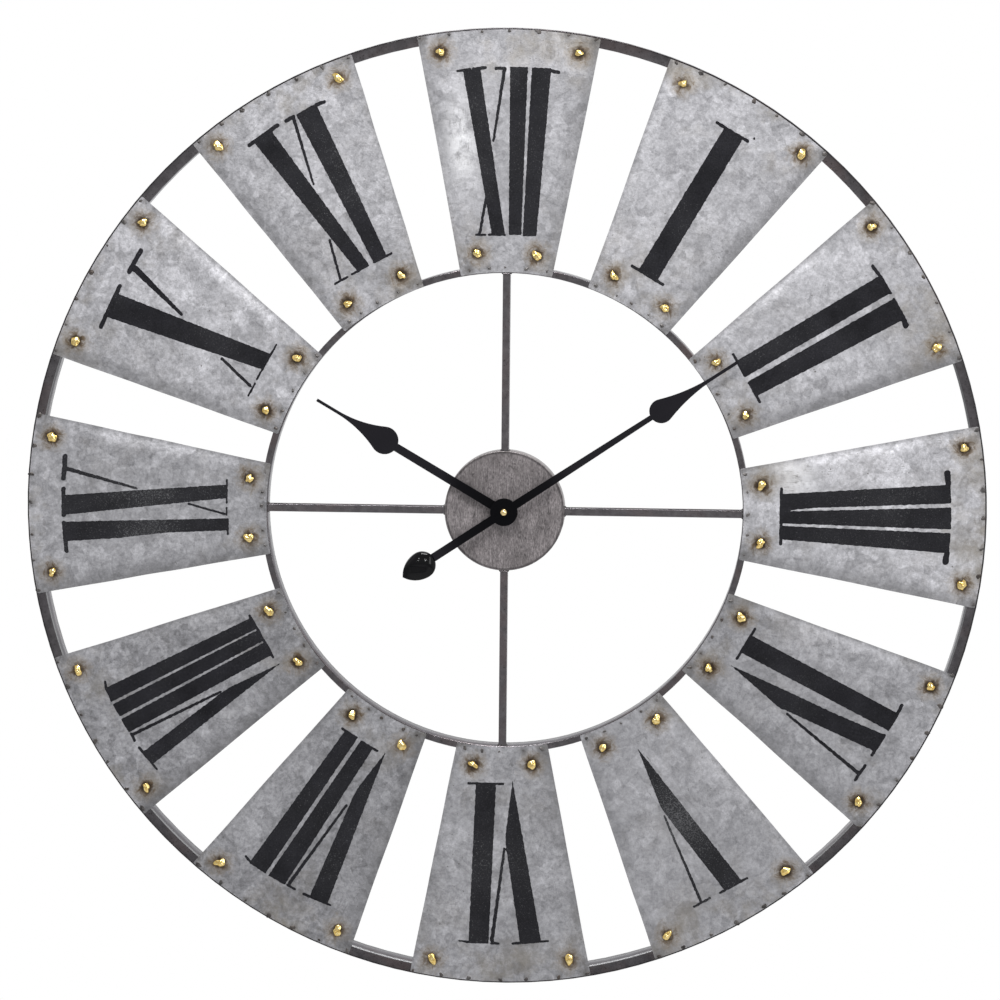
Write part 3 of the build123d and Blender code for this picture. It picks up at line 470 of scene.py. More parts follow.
SPOKE = bar_steel(
    "spoke_steel", (0.115, 0.107, 0.114), (0.172, 0.163, 0.171), (0.172, 0.136, 0.136), dull_shaded_top=1.0,
)
RUBBED = metal("rubbed_edge", (0.17, 0.17, 0.175), (0.23, 0.23, 0.235), 0.46, 200, strength=0.03)
KNOB = moulded("knob_plastic", (0.055, 0.055, 0.060), (0.075, 0.075, 0.080), 0.42, 1800)
WELD = bar_steel("weld_scale", (0.046, 0.043, 0.042), (0.150, 0.142, 0.140), (0.085, 0.066, 0.055), 0.42)


# Meshes

def piece(name, points, faces, material, slot, body="clock_frame", sharp=None):
    """A mesh on one body, smooth but for edges sharper than an angle in degrees."""
    mesh = bpy.data.meshes.new(name)
    shape = bmesh.new()
    corners = [shape.verts.new(point) for point in points]
    for face in faces:
        shape.faces.new([corners[i] for i in face])
    bmesh.ops.recalc_face_normals(shape, faces=shape.faces[:])
    for face in shape.faces:
        face.smooth = True
    shape.to_mesh(mesh)
    shape.free()
    mesh.materials.append(material)
    if sharp:
        mesh.set_sharp_from_angle(angle=math.radians(sharp))
    made = bpy.data.objects.new(name, mesh)
    bpy.context.scene.collection.objects.link(made)
    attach(made, body)
    return made


def store(made, **fields):
    """Keep a number or a vector for each point, for the materials to read."""
    for name, values in fields.items():
        values = np.asarray(values, np.float32)
        vectors = values.size > len(made.data.vertices)
        layer = made.data.attributes.new(name, "FLOAT_VECTOR" if vectors else "FLOAT", "POINT")
        layer.data.foreach_set("vector" if vectors else "value", values.ravel())


def grid_faces(rows, columns, start=0, closed=False):
    """Faces between rows of points. Closed rows join their last point to their first."""
    faces = []
    for i in range(rows - 1):
        for j in range(columns if closed else columns - 1):
            a, b = i * columns + j, i * columns + (j + 1) % columns
            faces.append((start + a, start + b, start + b + columns, start + a + columns))
    return faces


def tube_faces(rings, around):
    """Faces of a closed tube and of its two ends."""
    faces = grid_faces(rings, around, closed=True)
    return faces + [tuple(range(around)), tuple(range((rings - 1) * around, rings * around))]


# Numeral plates

# Length and height of the waves in a plate, and how far and how wide its free sides roll back
SLOW_WAVE, SLOW_HEIGHT = 120.0, 0.42
FINE_WAVE, FINE_HEIGHT = 48.0, 0.10
ROLL_BACK, ROLL_REACH = 1.5, 7.5
# The braze drops' places, how far each strays from them, and the range of their radii
DOT_SPOTS = ((-57.0, 379.4), (57.0, 379.4), (-25.0, 213.55), (25.0, 213.55))
DOT_STRAY = 1.0
DOT_RADII = (3.2, 4.2)
# Rows of tacks: distance from the hand axis, count, reach to each side in degrees, radius and stray
# in degrees. Each tack is shifted along v and scaled by draws within these limits
TACK_ROWS = ((397.4, 7, 10.5, 2.15, 0.35), (202.6, 5, 9.3, 1.6, 0.8))
TACK_SHIFTS = (-0.6, 0.2)
TACK_SCALES = (0.5, 1.12)


def plate_front(hour, u, v):
    """Forward height of a plate's front: a shallow cone, slightly wavy, its sides rolled back."""
    r = np.hypot(u, v)
    side = r * (PLATE_HALF_ANGLE - np.abs(np.arctan2(u, v)))
    free = np.sin(math.pi * np.clip((r - PLATE_IN) / (PLATE_OUT - PLATE_IN), 0, 1))
    slow = waves(hour, SLOW_WAVE)(u, v) * SLOW_HEIGHT
    fine = waves(hour + FINE_WAVE_SEED, FINE_WAVE)(u, v) * FINE_HEIGHT
    wave = slow + fine
    roll = ROLL_BACK * fading(np.maximum(side, 0), ROLL_REACH)
    return PLATE_FRONT + PLATE_SLOPE * (PLATE_OUT - r) + free * (wave - roll)


def dial_place(hour, u, v, f):
    """A plate's points in the shared frame: some plates sit off their even places or are cut askew."""
    turn = math.radians(HOUR_STEP * hour + PLATE_LEANS.get(hour, 0.0))
    u = u + PLATE_SKEWS.get(hour, 0.0) * (PLATE_OUT - v) / (PLATE_OUT - PLATE_IN)
    x = v * math.sin(turn) + u * math.cos(turn)
    z = v * math.cos(turn) - u * math.sin(turn)
    return place(x, f, z)


def slab(hour, u, v, front, back):
    """Points of a plate's front, or of paint on it, followed by those of its back."""
    return np.concatenate([dial_place(hour, u, v, front), dial_place(hour, u, v, back)])


def dot_places(hour):
    """Where a plate's four braze drops sit, each with its radius and heading."""
    rng = np.random.default_rng(DOT_SEED + hour)
    found = []
    for u, v in DOT_SPOTS:
        du, dv = rng.uniform(-DOT_STRAY, DOT_STRAY, 2)
        radius = rng.uniform(*DOT_RADII)
        heading = rng.uniform(0, math.pi)
        found.append((u + du, v + dv, radius, heading))
        # One more draw is passed over, which keeps the next drop's draws in their place
        rng.uniform()
    return found


def tack_places(hour):
    """Where a plate is tacked to the rings, each tack with its radius."""
    rng = np.random.default_rng(TACK_SEED + hour)
    found = []
    for r, count, reach, size, stray in TACK_ROWS:
        for step in np.linspace(-reach, reach, count):
            angle = math.radians(step + rng.uniform(-stray, stray))
            at = r + rng.uniform(*TACK_SHIFTS)
            radius = size * rng.uniform(*TACK_SCALES)
            found.append((at * math.sin(angle), at * math.cos(angle), radius))
    return found


# Most that a stain's offset is weakened by, and the length of one beyond the stain's reach
WEAKEST = 4.5
FAR_AWAY = 2000.0


def nearest_offsets(places, u, v, reach, seed):
    """Offset of each point from the nearest place, sent far away beyond the reach.

    The third part, drawn for each place, lengthens the offset and so weakens that place's stain.
    """
    weak = np.random.default_rng(seed).uniform(0.0, WEAKEST, len(places))
    offsets = np.stack([np.stack([u - at[0], v - at[1]]) for at in places])
    lengths = np.hypot(offsets[:, 0], offsets[:, 1])
    which = lengths.argmin(0)
    nearest = np.take_along_axis(offsets, which[None, None], 0)[0]
    length = lengths.min(0)
    nearest = np.where(length > reach, nearest * FAR_AWAY / np.maximum(length, 1e-6), nearest)
    return np.stack([nearest[0], nearest[1], weak[which]], axis=-1)


# Each plate's brightness, the strength of its mottling, and painted highlights (shine patches) as u, v,
# width and height
# The brightness also stands in for the light that each plate catches at its own tilt
TONES = {
    1: 1.05, 2: 1.05, 3: 1.29, 4: 0.96, 5: 1.0, 6: 0.97,
    7: 0.88, 8: 0.92, 9: 1.03, 10: 1.17, 11: 1.0, 12: 0.92,
}
GRAINS = {
    1: 0.80, 2: 0.82, 3: 0.93, 4: 0.88, 5: 0.78, 6: 0.92,
    7: 1.06, 8: 1.06, 9: 0.93, 10: 0.95, 11: 0.90, 12: 0.78,
}
SHINES = {12: (-38, 305, 14, 34), 3: (-31, 240, 15, 20)}


# Points of a plate from its inner to its outer end and across it, crowded towards its edges
PLATE_ROWS, PLATE_COLUMNS = 97, 73
EVEN, CROWDED = 0.55, 0.45
# Rounding of its corners, and the waves that its sides are cut in. The left side follows another line
CORNER_R = 0.5
CUT_WAVE, CUT_COUNT, CUT_STRAY, CUT_LEFT = 70.0, 5, 0.2, 200.0
# Reach of the dark line and the shade along its sides, of the grime at its ends and in its corners,
# and of the stains at its drops and tacks
LINE_REACH = 3.0
SHADE_REACH = 10.0
GRIME_REACH = 75.0
CORNER_REACH = 15.0
DOT_STAIN_REACH = 20.0
TACK_STAIN_REACH = 8.0
# The back has less of the dark line and painted shade along the sides and is a little darker
BACK_EDGE, BACK_TONE = 0.6, 0.9
# Keeps the scratches of one plate apart from the next one's
SHEET_APART = 100.0


def plate_grid(hour):
    """Distance and angle of each point of a plate's front, its sides cut a little unevenly."""
    even = np.linspace(0, 1, PLATE_ROWS)
    share = EVEN * even + CROWDED * (0.5 - 0.5 * np.cos(math.pi * even))
    r = PLATE_IN + (PLATE_OUT - PLATE_IN) * share
    even = np.linspace(-1, 1, PLATE_COLUMNS)
    across = EVEN * even + CROWDED * np.sin(math.pi / 2 * even)
    end = np.minimum(r - PLATE_IN, PLATE_OUT - r)
    corner = CORNER_R - np.sqrt(np.maximum(CORNER_R**2 - np.maximum(CORNER_R - end, 0) ** 2, 0))
    cut = waves(hour + CUT_SEED, CUT_WAVE, CUT_COUNT)

    def reach(line):
        return PLATE_HALF_ANGLE - (corner + CUT_STRAY + CUT_STRAY * cut(r, 0 * r + line)) / r

    angle = np.where(across > 0, across * reach(0.0)[:, None], across * reach(CUT_LEFT)[:, None])
    return np.broadcast_to(r[:, None], angle.shape).ravel(), angle.ravel()


def plate_faces():
    """Faces of a plate's front, its back and the rim between them."""
    rows, columns, half = PLATE_ROWS, PLATE_COLUMNS, PLATE_ROWS * PLATE_COLUMNS
    faces = grid_faces(rows, columns) + grid_faces(rows, columns, half)
    rim = list(range(columns)) + [i * columns + columns - 1 for i in range(1, rows)]
    rim += [half - 1 - j for j in range(1, columns)] + [i * columns for i in range(rows - 2, 0, -1)]
    for a, b in zip(rim, rim[1:] + rim[:1]):
        faces.append((a, b, b + half, a + half))
    return faces


def numeral_plate(hour):
    r, angle = plate_grid(hour)
    u, v = r * np.sin(angle), r * np.cos(angle)
    front = plate_front(hour, u, v)
    points = slab(hour, u, v, front, front - PLATE_THICKNESS)
    sheet_metal = FINISH["galvanised_sheet"]
    made = piece(f"plate_{hour:02d}", points, plate_faces(), sheet_metal, "galvanised_sheet", sharp=50)
    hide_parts(f"numeral_plate_{hour:02d}")

    side = np.maximum(r * (PLATE_HALF_ANGLE - np.abs(angle)), 0)
    turn = math.radians(HOUR_STEP * hour)
    # Painted shade: the sides that face down or to the right get a wider darkening
    faces_down = np.sign(angle) * (0.5 * math.cos(turn) + 0.85 * math.sin(turn))
    painted_side_shade = np.clip(0.45 + 0.55 * faces_down, 0.1, 1.0)
    edge = np.maximum(0.55 * fading(side, LINE_REACH), painted_side_shade * fading(side, SHADE_REACH))
    ends = np.minimum(r - PLATE_IN, PLATE_OUT - r)
    grime = np.clip(1.0 - ends / GRIME_REACH, 0.15, 1.0)
    corner = fading(np.hypot(side, ends), CORNER_REACH)
    # Shine patches: painted highlights on two plates
    shine = 0 * u
    if hour in SHINES:
        at_u, at_v, wide, tall = SHINES[hour]
        shine = fading(u - at_u, wide) * fading(v - at_v, tall)
    tone = np.full(u.shape, TONES[hour])
    grain = np.full(u.shape, GRAINS[hour])
    drops = nearest_offsets(dot_places(hour), u, v, DOT_STAIN_REACH, DOT_STAIN_SEED + hour)
    tacks = nearest_offsets(tack_places(hour), u, v, TACK_STAIN_REACH, TACK_STAIN_SEED + hour)
    sheet = np.stack([u, v, np.full(u.shape, SHEET_APART * hour)], axis=-1)
    store(made, edge=[edge, BACK_EDGE * edge], grime=[grime, grime], corner=[corner, corner])
    store(made, shine=[shine, 0 * u], tone=[tone, BACK_TONE * tone], grain=[grain, grain])
    store(made, braze=[drops, drops], tack=[tacks, tacks], sheet=[sheet, sheet])


# Stencilled numerals. A stroke is a polygon of (u, v) corners, or a line of two (u, v, width)
# ends. The first two numbers shift a numeral to its left, at v = LEAN_IN and at v = LEAN_OUT.
LEAN_IN, LEAN_OUT = 200.0, 400.0


def foot(left, right, v, width, right_v=None):
    """A line across the plate, sloping where its right end has a v of its own."""
    return [(left, v, width), (right, right_v or v, width)]


NUMERALS = {
    1: (4.0, 5.0, [
        [(-4, 367), (14, 367), (12.4, 230), (-5.4, 230)], [(21.2, 371.8, 1.6), (22.6, 370, 1.6)],
        foot(-12.6, 19.6, 366.3, 2.7), foot(-13, 19.4, 229.4, 2.7),
    ]),
    2: (4.1, 4.9, [
        [(-14.6, 367.8), (2.4, 367.8), (2.4, 230), (-13, 230)],
        [(7.6, 367.8), (27, 367.8), (21, 230), (6.6, 230)],
        [(-25.4, 364.8, 3), (-13, 366.4, 3)], foot(-14, 3.6, 367, 2.4), foot(7, 28, 367, 2.6),
        [(26, 366.4, 4), (34.6, 364.6, 5.6)],
        foot(-20, 2.6, 229.4, 2.3), foot(6.6, 27.6, 229.4, 2.3),
    ]),
    3: (2.0, 6.4, [
        [
            (-21.4, 369.4), (-5.7, 370.4), (-4.0, 300), (-3.0, 258), (-2.0, 243), (-0.3, 234),
            (-0.4, 230), (-15, 230),
        ],
        [(-2.4, 370.6), (16, 370.6), (9.6, 230), (-0.4, 230)],
        [(19, 370.4), (36, 369.4), (23, 230), (11.6, 230)],
        [(-33.6, 366.2, 5.6), (-20, 367.8, 4.6)], [(34, 367.8, 4.6), (45.6, 366, 5.8)],
        foot(-20.4, 28.2, 229.8, 2.7),
    ]),
    4: (2.0, 7.0, [
        [(-18, 368.4), (-1.4, 368.4), (2.4, 228.6), (-14.6, 228.6)],
        [(-27, 366.8, 3.4), (-16, 367.6, 2.6)], foot(-18, -1, 367.8, 2.4), foot(-21.8, 9.4, 229.2, 2.3),
        [(3, 368), (19.4, 368), (26, 288), (27, 281), (15.8, 227.4), (11.2, 281), (8.2, 322)],
        foot(2.4, 24.6, 367.6, 2.9), foot(32.2, 49.6, 367.2, 2.7, 366.6),
        [(42.2, 366.4, 3.2), (28, 288, 2.2)],
    ]),
    5: (-0.6, 2.8, [
        [(-18, 368), (-1.4, 368), (8.6, 288), (9, 280), (0.6, 227)],
        foot(-24, 4, 368.4, 2.2), foot(11.6, 28.6, 368.2, 2), [(20.6, 368, 2.6), (10.2, 288, 1.8)],
    ]),
    6: (-0.5, 0.0, [
        [(-34.2, 363), (-16.4, 365), (-4, 282), (-3.6, 274), (-9.4, 226.6)],
        [(-41.2, 363, 1.8), (-9.4, 366, 2.4)], foot(0.4, 9, 366, 2.2), [(7.4, 365.6, 3.4), (-3, 284, 2.2)],
        [(10, 366.4), (27, 366.4), (21.4, 230), (4.4, 230)],
        [(25, 365.4, 2.2), (35.6, 364.4, 1.6)], foot(-2.6, 28.6, 229.8, 2),
    ]),
    7: (-2.5, -2.5, [
        [(-41.4, 362.6), (-25.2, 365), (-14, 274), (-13.6, 264), (-18.4, 225.6)],
        [(-45, 363, 1.8), (-18.6, 366.5, 2.5)], foot(-12.6, -3.4, 366.6, 2.2),
        [(-5, 366, 3), (-13, 281, 2.2)],
        [(-2.4, 368), (13.6, 368), (4.6, 229), (-7.8, 229)],
        [(16.4, 368), (32.8, 367), (20, 228.2), (7.8, 228.2)], [(31, 366, 2.4), (39, 363.4, 2)],
        foot(-13, 4.6, 228.8, 2.1), foot(7.8, 24, 228.2, 2.1, 227.4),
    ]),
    8: (-3.0, -1.9, [
        [(-44, 363.8), (-31, 366.6), (-19.4, 286), (-18.2, 274), (-21, 227)],
        [(-50.6, 363, 1.8), (-25, 367.4, 2.6)], foot(-20.4, -11.8, 367.3, 2.4),
        [(-14, 367, 2.8), (-18, 282, 2.2)],
        [(-11, 368.4), (2, 368.4), (1, 229.6), (-11.4, 229.6)],
        [(4.4, 368.4), (16.4, 368.4), (12.8, 229.6), (2.4, 229.6)],
        [(18.6, 368.4), (31.4, 367.4), (24.4, 229.6), (14, 229.6)], [(30, 366.6, 2.4), (37, 364, 2)],
        foot(-15, 27.4, 229.6, 2.3),
    ]),
    9: (-2.0, -3.5, [
        [(-34.4, 369.4), (-18, 370.4), (-11, 231), (-21.2, 231), (-24.6, 284), (-30.4, 324)],
        [(-44.4, 366.8, 3.6), (-17, 369.4, 3.6)], foot(-25, -11, 231, 1.8),
        [(-12, 368), (4.4, 369), (17.4, 232), (6, 232)], foot(-14, 11.8, 369.4, 3.7),
        [(16.4, 369.6, 4), (39.2, 367.8, 4.4)], [(27, 368, 3.6), (11.6, 307, 2)],
        [(0.4, 265, 1.9), (-7.6, 233, 1.9)], foot(-9, -1.4, 232, 1.6), foot(1, 22, 232, 1.6),
    ]),
    10: (-4.0, -7.5, [
        [(-33, 367.8), (-11.6, 370), (12.4, 234), (-2.4, 233)],
        [(-44.4, 367.6, 3.7), (-3.4, 370.8, 3.7)], foot(7, 31.4, 369.8, 4),
        [(14.6, 369, 6), (1.4, 313, 2.6)],
        [(-12, 268, 2.6), (-19.6, 234, 2.6)], foot(-28, -14.6, 232.6, 1.8), foot(-12.6, 22.4, 233.2, 1.8),
    ]),
    11: (-5.5, -4.5, [
        [(-34.6, 367.6), (-17.4, 370), (1, 234), (-10.4, 234)],
        [(-41, 367.8, 3.5), (-9, 371, 3.5)], foot(-4.4, 6, 370.4, 3.4), [(4, 370, 3), (-8, 313, 1.9)],
        [(-18, 268, 2.3), (-26, 234, 2.3)], foot(-32.6, -19, 233.4, 2.1), foot(-16.4, 1, 233.4, 2.1),
        [(7, 371), (26, 371), (17.6, 234), (5, 234)],
        [(24, 370, 3.4), (34, 368.4, 3)], foot(4.6, 23, 233.2, 2.1, 232.4),
    ]),
    12: (0.5, -2.0, [
        [(-39.4, 364.6), (-25, 366), (-1.6, 229.5), (-12.6, 229.5)],
        [(-45, 364, 2), (-32, 365.6, 3)], [(-32, 365.6, 3), (-19.5, 367.2, 3)],
        foot(-13.4, -3.4, 366.6, 2.8), [(-5, 366.5, 3), (-13, 306, 2)],
        [(-17.6, 262, 2.4), (-22.6, 230, 2.4)], foot(-26.4, -17, 229.4, 2), foot(-15.8, -1, 229.6, 2),
        [(-0.6, 368), (14.2, 368), (11.8, 229.6), (1.4, 229.6)],
        [(17.4, 367.6), (33.5, 367.2), (24.4, 228.6), (13, 228.6)], [(28, 366.2, 3), (41, 363.4, 3)],
    ]),
}


# Longer than any distance on a plate
BEYOND = 1e9


def polygon_distance(corners, u, v):
    """Signed distance to a polygon, negative inside."""
    nearest = np.full(u.shape, BEYOND)
    inside = np.zeros(u.shape, bool)
    for (au, av), (bu, bv) in zip(corners, corners[1:] + corners[:1]):
        eu, ev = bu - au, bv - av
        t = np.clip(((u - au) * eu + (v - av) * ev) / (eu * eu + ev * ev + 1e-12), 0, 1)
        nearest = np.minimum(nearest, np.hypot(u - au - t * eu, v - av - t * ev))
        if av != bv:
            crossing = (av > v) != (bv > v)
            inside ^= crossing & (u < au + (v - av) * eu / ev)
    return np.where(inside, -nearest, nearest)


def stroke_distance(stroke, u, v):
    """Signed distance to a polygon, or to a tapered line with round ends."""
    if len(stroke[0]) == 2:
        return polygon_distance(stroke, u, v)
    (au, av, aw), (bu, bv, bw) = stroke
    length = math.hypot(bu - au, bv - av)
    eu, ev = (bu - au) / length, (bv - av) / length
    t = np.clip((u - au) * eu + (v - av) * ev, aw / 2, length - bw / 2)
    half = (aw + (bw - aw) * t / length) / 2
    return np.hypot(u - au - t * eu, v - av - t * ev) - half


def contour(field, u, v):
    """Points and edges of the field's zero line on a grid."""
    points, edges, known = [], [], {}

    def crossing(a, b):
        key = (a, b)
        if key not in known:
            share = field[a] / (field[a] - field[b])
            known[key] = len(points)
            points.append((u[a] + share * (u[b] - u[a]), v[a] + share * (v[b] - v[a])))
        return known[key]

    low = field < 0
    mixed = low[:-1, :-1].astype(int) + low[1:, :-1] + low[:-1, 1:] + low[1:, 1:]
    for i, j in zip(*np.nonzero((mixed > 0) & (mixed < 4))):
        ring = [(i, j), (i + 1, j), (i + 1, j + 1), (i, j + 1)]
        hits = []
        for a, b in zip(ring, ring[1:] + ring[:1]):
            if low[a] != low[b]:
                hits.append(crossing(*sorted((a, b))))
        if len(hits) == 4 and low[ring[0]] == (sum(field[c] for c in ring) < 0):
            hits = hits[1:] + hits[:1]
        edges += [(hits[k], hits[k + 1]) for k in range(0, len(hits), 2)]
    return points, edges


# How far each numeral's paint is rubbed through, most of all about one distance from the hand axis
WEAR = {3: 0.3, 5: 1.2, 6: 0.5, 7: 0.3, 9: 0.75, 11: 0.2, 12: 0.3}
WORN_AT, WORN_REACH = 297.0, 30.0
# Step and margin of the grid that the outline is found on, and how far the paint is shrunk and raised
PAINT_STEP = 0.7
PAINT_MARGIN = 4.0
PAINT_SHRINK = 0.03
PAINT_HEIGHT = 0.12
# Waves that roughen the outline: seed, length and height
RAGS = ((COARSE_RAG_SEED, 5.0, 0.22), (FINE_RAG_SEED, 2.2, 0.14))
RAG_COUNT = 9
# Points within the outline: every eighth of the grid, where it is this far inside
INNER_EVERY, INNER_DEPTH = 8, 1.2
# Kind of triangulation: only the triangles inside the outline
INSIDE_ONLY = 2


def numeral(hour):
    lean_in, lean_out, strokes = NUMERALS[hour]
    corners = np.array([corner[:2] for stroke in strokes for corner in stroke])
    low, high = corners.min(0) - PAINT_MARGIN, corners.max(0) + PAINT_MARGIN
    u, v = np.meshgrid(
        np.arange(low[0], high[0], PAINT_STEP), np.arange(low[1], high[1], PAINT_STEP), indexing="ij",
    )
    field = np.full(u.shape, BEYOND)
    for stroke in strokes:
        field = np.minimum(field, stroke_distance(stroke, u, v))
    for seed, length, height in RAGS:
        field = field + height * waves(hour + seed, length, RAG_COUNT)(u, v)
    field = field + PAINT_SHRINK
    points, edges = contour(field, u, v)
    some = (slice(None, None, INNER_EVERY),) * 2
    inner = field[some] < -INNER_DEPTH
    points += list(zip(u[some][inner], v[some][inner]))
    corners = [Vector(point) for point in points]
    flat, _, faces, _, _, _ = delaunay_2d_cdt(corners, edges, [], INSIDE_ONLY, 1e-5)
    flat = np.array(flat)
    v = flat[:, 1]
    u = flat[:, 0] - lean_in - (lean_out - lean_in) * (v - LEAN_IN) / (LEAN_OUT - LEAN_IN)
    seat = plate_front(hour, u, v)
    count = len(flat)
    points = slab(hour, u, v, seat + PAINT_HEIGHT, seat - PAINT_HEIGHT)
    used = Counter(tuple(sorted(ends)) for face in faces for ends in zip(face, face[1:] + face[:1]))
    walls = [(a, b, b + count, a + count) for (a, b), times in used.items() if times == 1]
    solid = [tuple(face) for face in faces] + [tuple(i + count for i in face) for face in faces] + walls
    keep = sorted({i for face in solid for i in face})
    renumber = {old: new for new, old in enumerate(keep)}
    solid = [tuple(renumber[i] for i in face) for face in solid]
    made = piece(f"numeral_{hour:02d}", points[keep], solid, PAINT, "hand_black", sharp=40)
    rubbed = 0.45 + 0.9 * fading(np.tile(v, 2)[keep] - WORN_AT, WORN_REACH)
    store(made, wear=WEAR.get(hour, 0.0) * rubbed)


# Drops, tacks and weld beads

# A drop's height, the step to the next height, its unevenness and its count of flats
DROP_HEIGHT, DROP_STEP = 2.0, 0.25
DROP_ROUGH, DROP_FACETS = 0.42, 13
# A tack's height, how deep it sits, its unevenness and the turn from one seed to the next
TACK_HEIGHT, TACK_SUNK = 0.45, 0.15
TACK_ROUGH, TACK_TURN = 0.4, 0.7
# A bead's radius, how far its middle stands off the bar, and where it ends behind and in front
BEAD_R, BEAD_OFF = 1.0, 0.1
BEAD_BACK = BAR_FRONT - BAR_DEPTH + 0.3
BEAD_FRONT = BAR_FRONT - 0.35
# The rubbed edge's radius, how far it stands out, and where it starts and ends in degrees
ARRIS, ARRIS_PROUD = 1.0, 0.35
ARRIS_FROM, ARRIS_TO = 60, 300


def lump(hour, u, v, radius, height, seed, heading, rough, facets=0, sunk=0.3):
    """Points and faces of an uneven drop on a plate, and how near each point is to its rim."""
    rng = np.random.default_rng(seed)
    rings, around = (14, 36) if facets else (7, 18)
    turn = np.linspace(0, 2 * math.pi, around, endpoint=False)
    out = np.sin(np.linspace(0, math.pi / 2, rings + 1)[1:])
    stretch = rng.uniform(1.0, 1.25)
    shape = 1.0
    for k in (2, 3, 5):
        shape = shape + rough * rng.uniform(0.3, 1.0) * np.sin(k * turn + rng.uniform(0, 6.3)) / k
    a = np.append(0.0, out[:, None] * shape * np.cos(turn))
    b = np.append(0.0, out[:, None] * shape * np.sin(turn))
    near_rim = np.append(0.0, np.repeat(out, around))
    rise = np.sqrt(np.maximum(1 - near_rim**2, 0)) * (1 + 0.8 * rough * waves(seed + 7, 0.8, 6)(a, b))
    for _ in range(facets):
        angle, tilt = rng.uniform(0, 2 * math.pi), rng.uniform(0.15, 1.2)
        reach = rng.uniform(0.86, 1.0) * math.hypot(1.0, tilt)
        rise = np.minimum(rise, reach - tilt * (a * math.cos(angle) + b * math.sin(angle)))
    c, s = math.cos(heading), math.sin(heading)
    a, b = a * radius * stretch, b * radius / stretch
    du, dv = a * c - b * s, a * s + b * c
    f = plate_front(hour, u + du, v + dv) + height * np.maximum(rise, 0) - sunk
    faces = [(0, 1 + j, 1 + (j + 1) % around) for j in range(around)]
    faces += grid_faces(rings, around, 1, closed=True)
    faces.append(tuple(range(1 + (rings - 1) * around, 1 + rings * around)))
    return dial_place(hour, u + du, v + dv, f), faces, near_rim


def gather(name, lumps, material, slot, **options):
    points, faces, rims, start = [], [], [], 0
    for lump_points, lump_faces, rim in lumps:
        points.append(lump_points)
        rims.append(rim)
        faces += [tuple(start + i for i in face) for face in lump_faces]
        start += len(lump_points)
    made = piece(name, np.concatenate(points), faces, material, slot, **options)
    store(made, rim=np.concatenate(rims))
    return made


def braze_drops():
    drops = []
    for hour in HOURS:
        for index, (u, v, size, heading) in enumerate(dot_places(hour)):
            seed = DROP_SEED + 10 * hour + index
            height = DROP_HEIGHT + DROP_STEP * (seed % 3)
            drops.append(lump(hour, u, v, size, height, seed, heading, DROP_ROUGH, facets=DROP_FACETS))
    made = gather("braze_drops", drops, FINISH["braze_gold"], "braze_gold")
    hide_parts("braze_dots")


def tack_welds():
    tacks = []
    for hour in HOURS:
        for index, (u, v, size) in enumerate(tack_places(hour)):
            seed = TACK_SHAPE_SEED + 20 * hour + index
            heading = seed * TACK_TURN
            tacks.append(lump(hour, u, v, size, TACK_HEIGHT, seed, heading, TACK_ROUGH, sunk=TACK_SUNK))
    gather("tack_welds", tacks, WELD, "frame_steel")


def bead(x, z, radius, back, front, seed):
    """Short upright weld bead along the depth of a bar, its ends rounded off."""
    rng = np.random.default_rng(seed)
    around, rings = 12, 11
    turn = np.linspace(0, 2 * math.pi, around, endpoint=False)
    t = np.linspace(-1, 1, rings)
    size = radius * np.power(np.maximum(1 - np.abs(t) ** 6, 0.02), 0.5) * rng.uniform(0.85, 1.15, rings)
    depth = (back + front) / 2 + t * (front - back) / 2
    points = place(
        (x + size[:, None] * np.cos(turn)).ravel(),
        np.repeat(depth, around),
        (z + size[:, None] * np.sin(turn)).ravel(),
    )
    return points, tube_faces(rings, around), np.zeros(len(points))


def spoke_welds():
    beads = []
    for quarter in range(4):
        turn = quarter * math.pi / 2
        for side in (-1, 1):
            for along in (HUB_R + BEAD_OFF, SPOKE_END - BEAD_OFF):
                aside = side * (BAR_HALF + BEAD_OFF)
                x = along * math.sin(turn) + aside * math.cos(turn)
                z = along * math.cos(turn) - aside * math.sin(turn)
                seed = BEAD_SEED + quarter * 10 + side + int(along)
                beads.append(bead(x, z, BEAD_R, BEAD_BACK, BEAD_FRONT, seed))
    gather("spoke_welds", beads, WELD, "frame_steel", sharp=60)


def ring_arris():
    """Rubbed rounding along the outer ring's inner front edge, from behind plate II round to plate X."""
    around, steps = 241, 7
    turn = np.radians(np.linspace(ARRIS_FROM, ARRIS_TO, around))
    bend = np.linspace(0, math.pi / 2, steps - 1)
    round_r = ARRIS + ARRIS_PROUD
    r = np.append(RING_HOLE + ARRIS - round_r * np.sin(bend), RING_HOLE + ARRIS)
    f = np.append(RING_FRONT - ARRIS + round_r * np.cos(bend), RING_FRONT - ARRIS)
    points = place(
        (np.sin(turn)[:, None] * r).ravel(), np.tile(f, around), (np.cos(turn)[:, None] * r).ravel(),
    )
    piece("ring_arris", points, tube_faces(around, steps), RUBBED, "frame_steel", sharp=60)


for hour in HOURS:
    numeral_plate(hour)
    numeral(hour)
braze_drops()
tack_welds()
spoke_welds()
ring_arris()


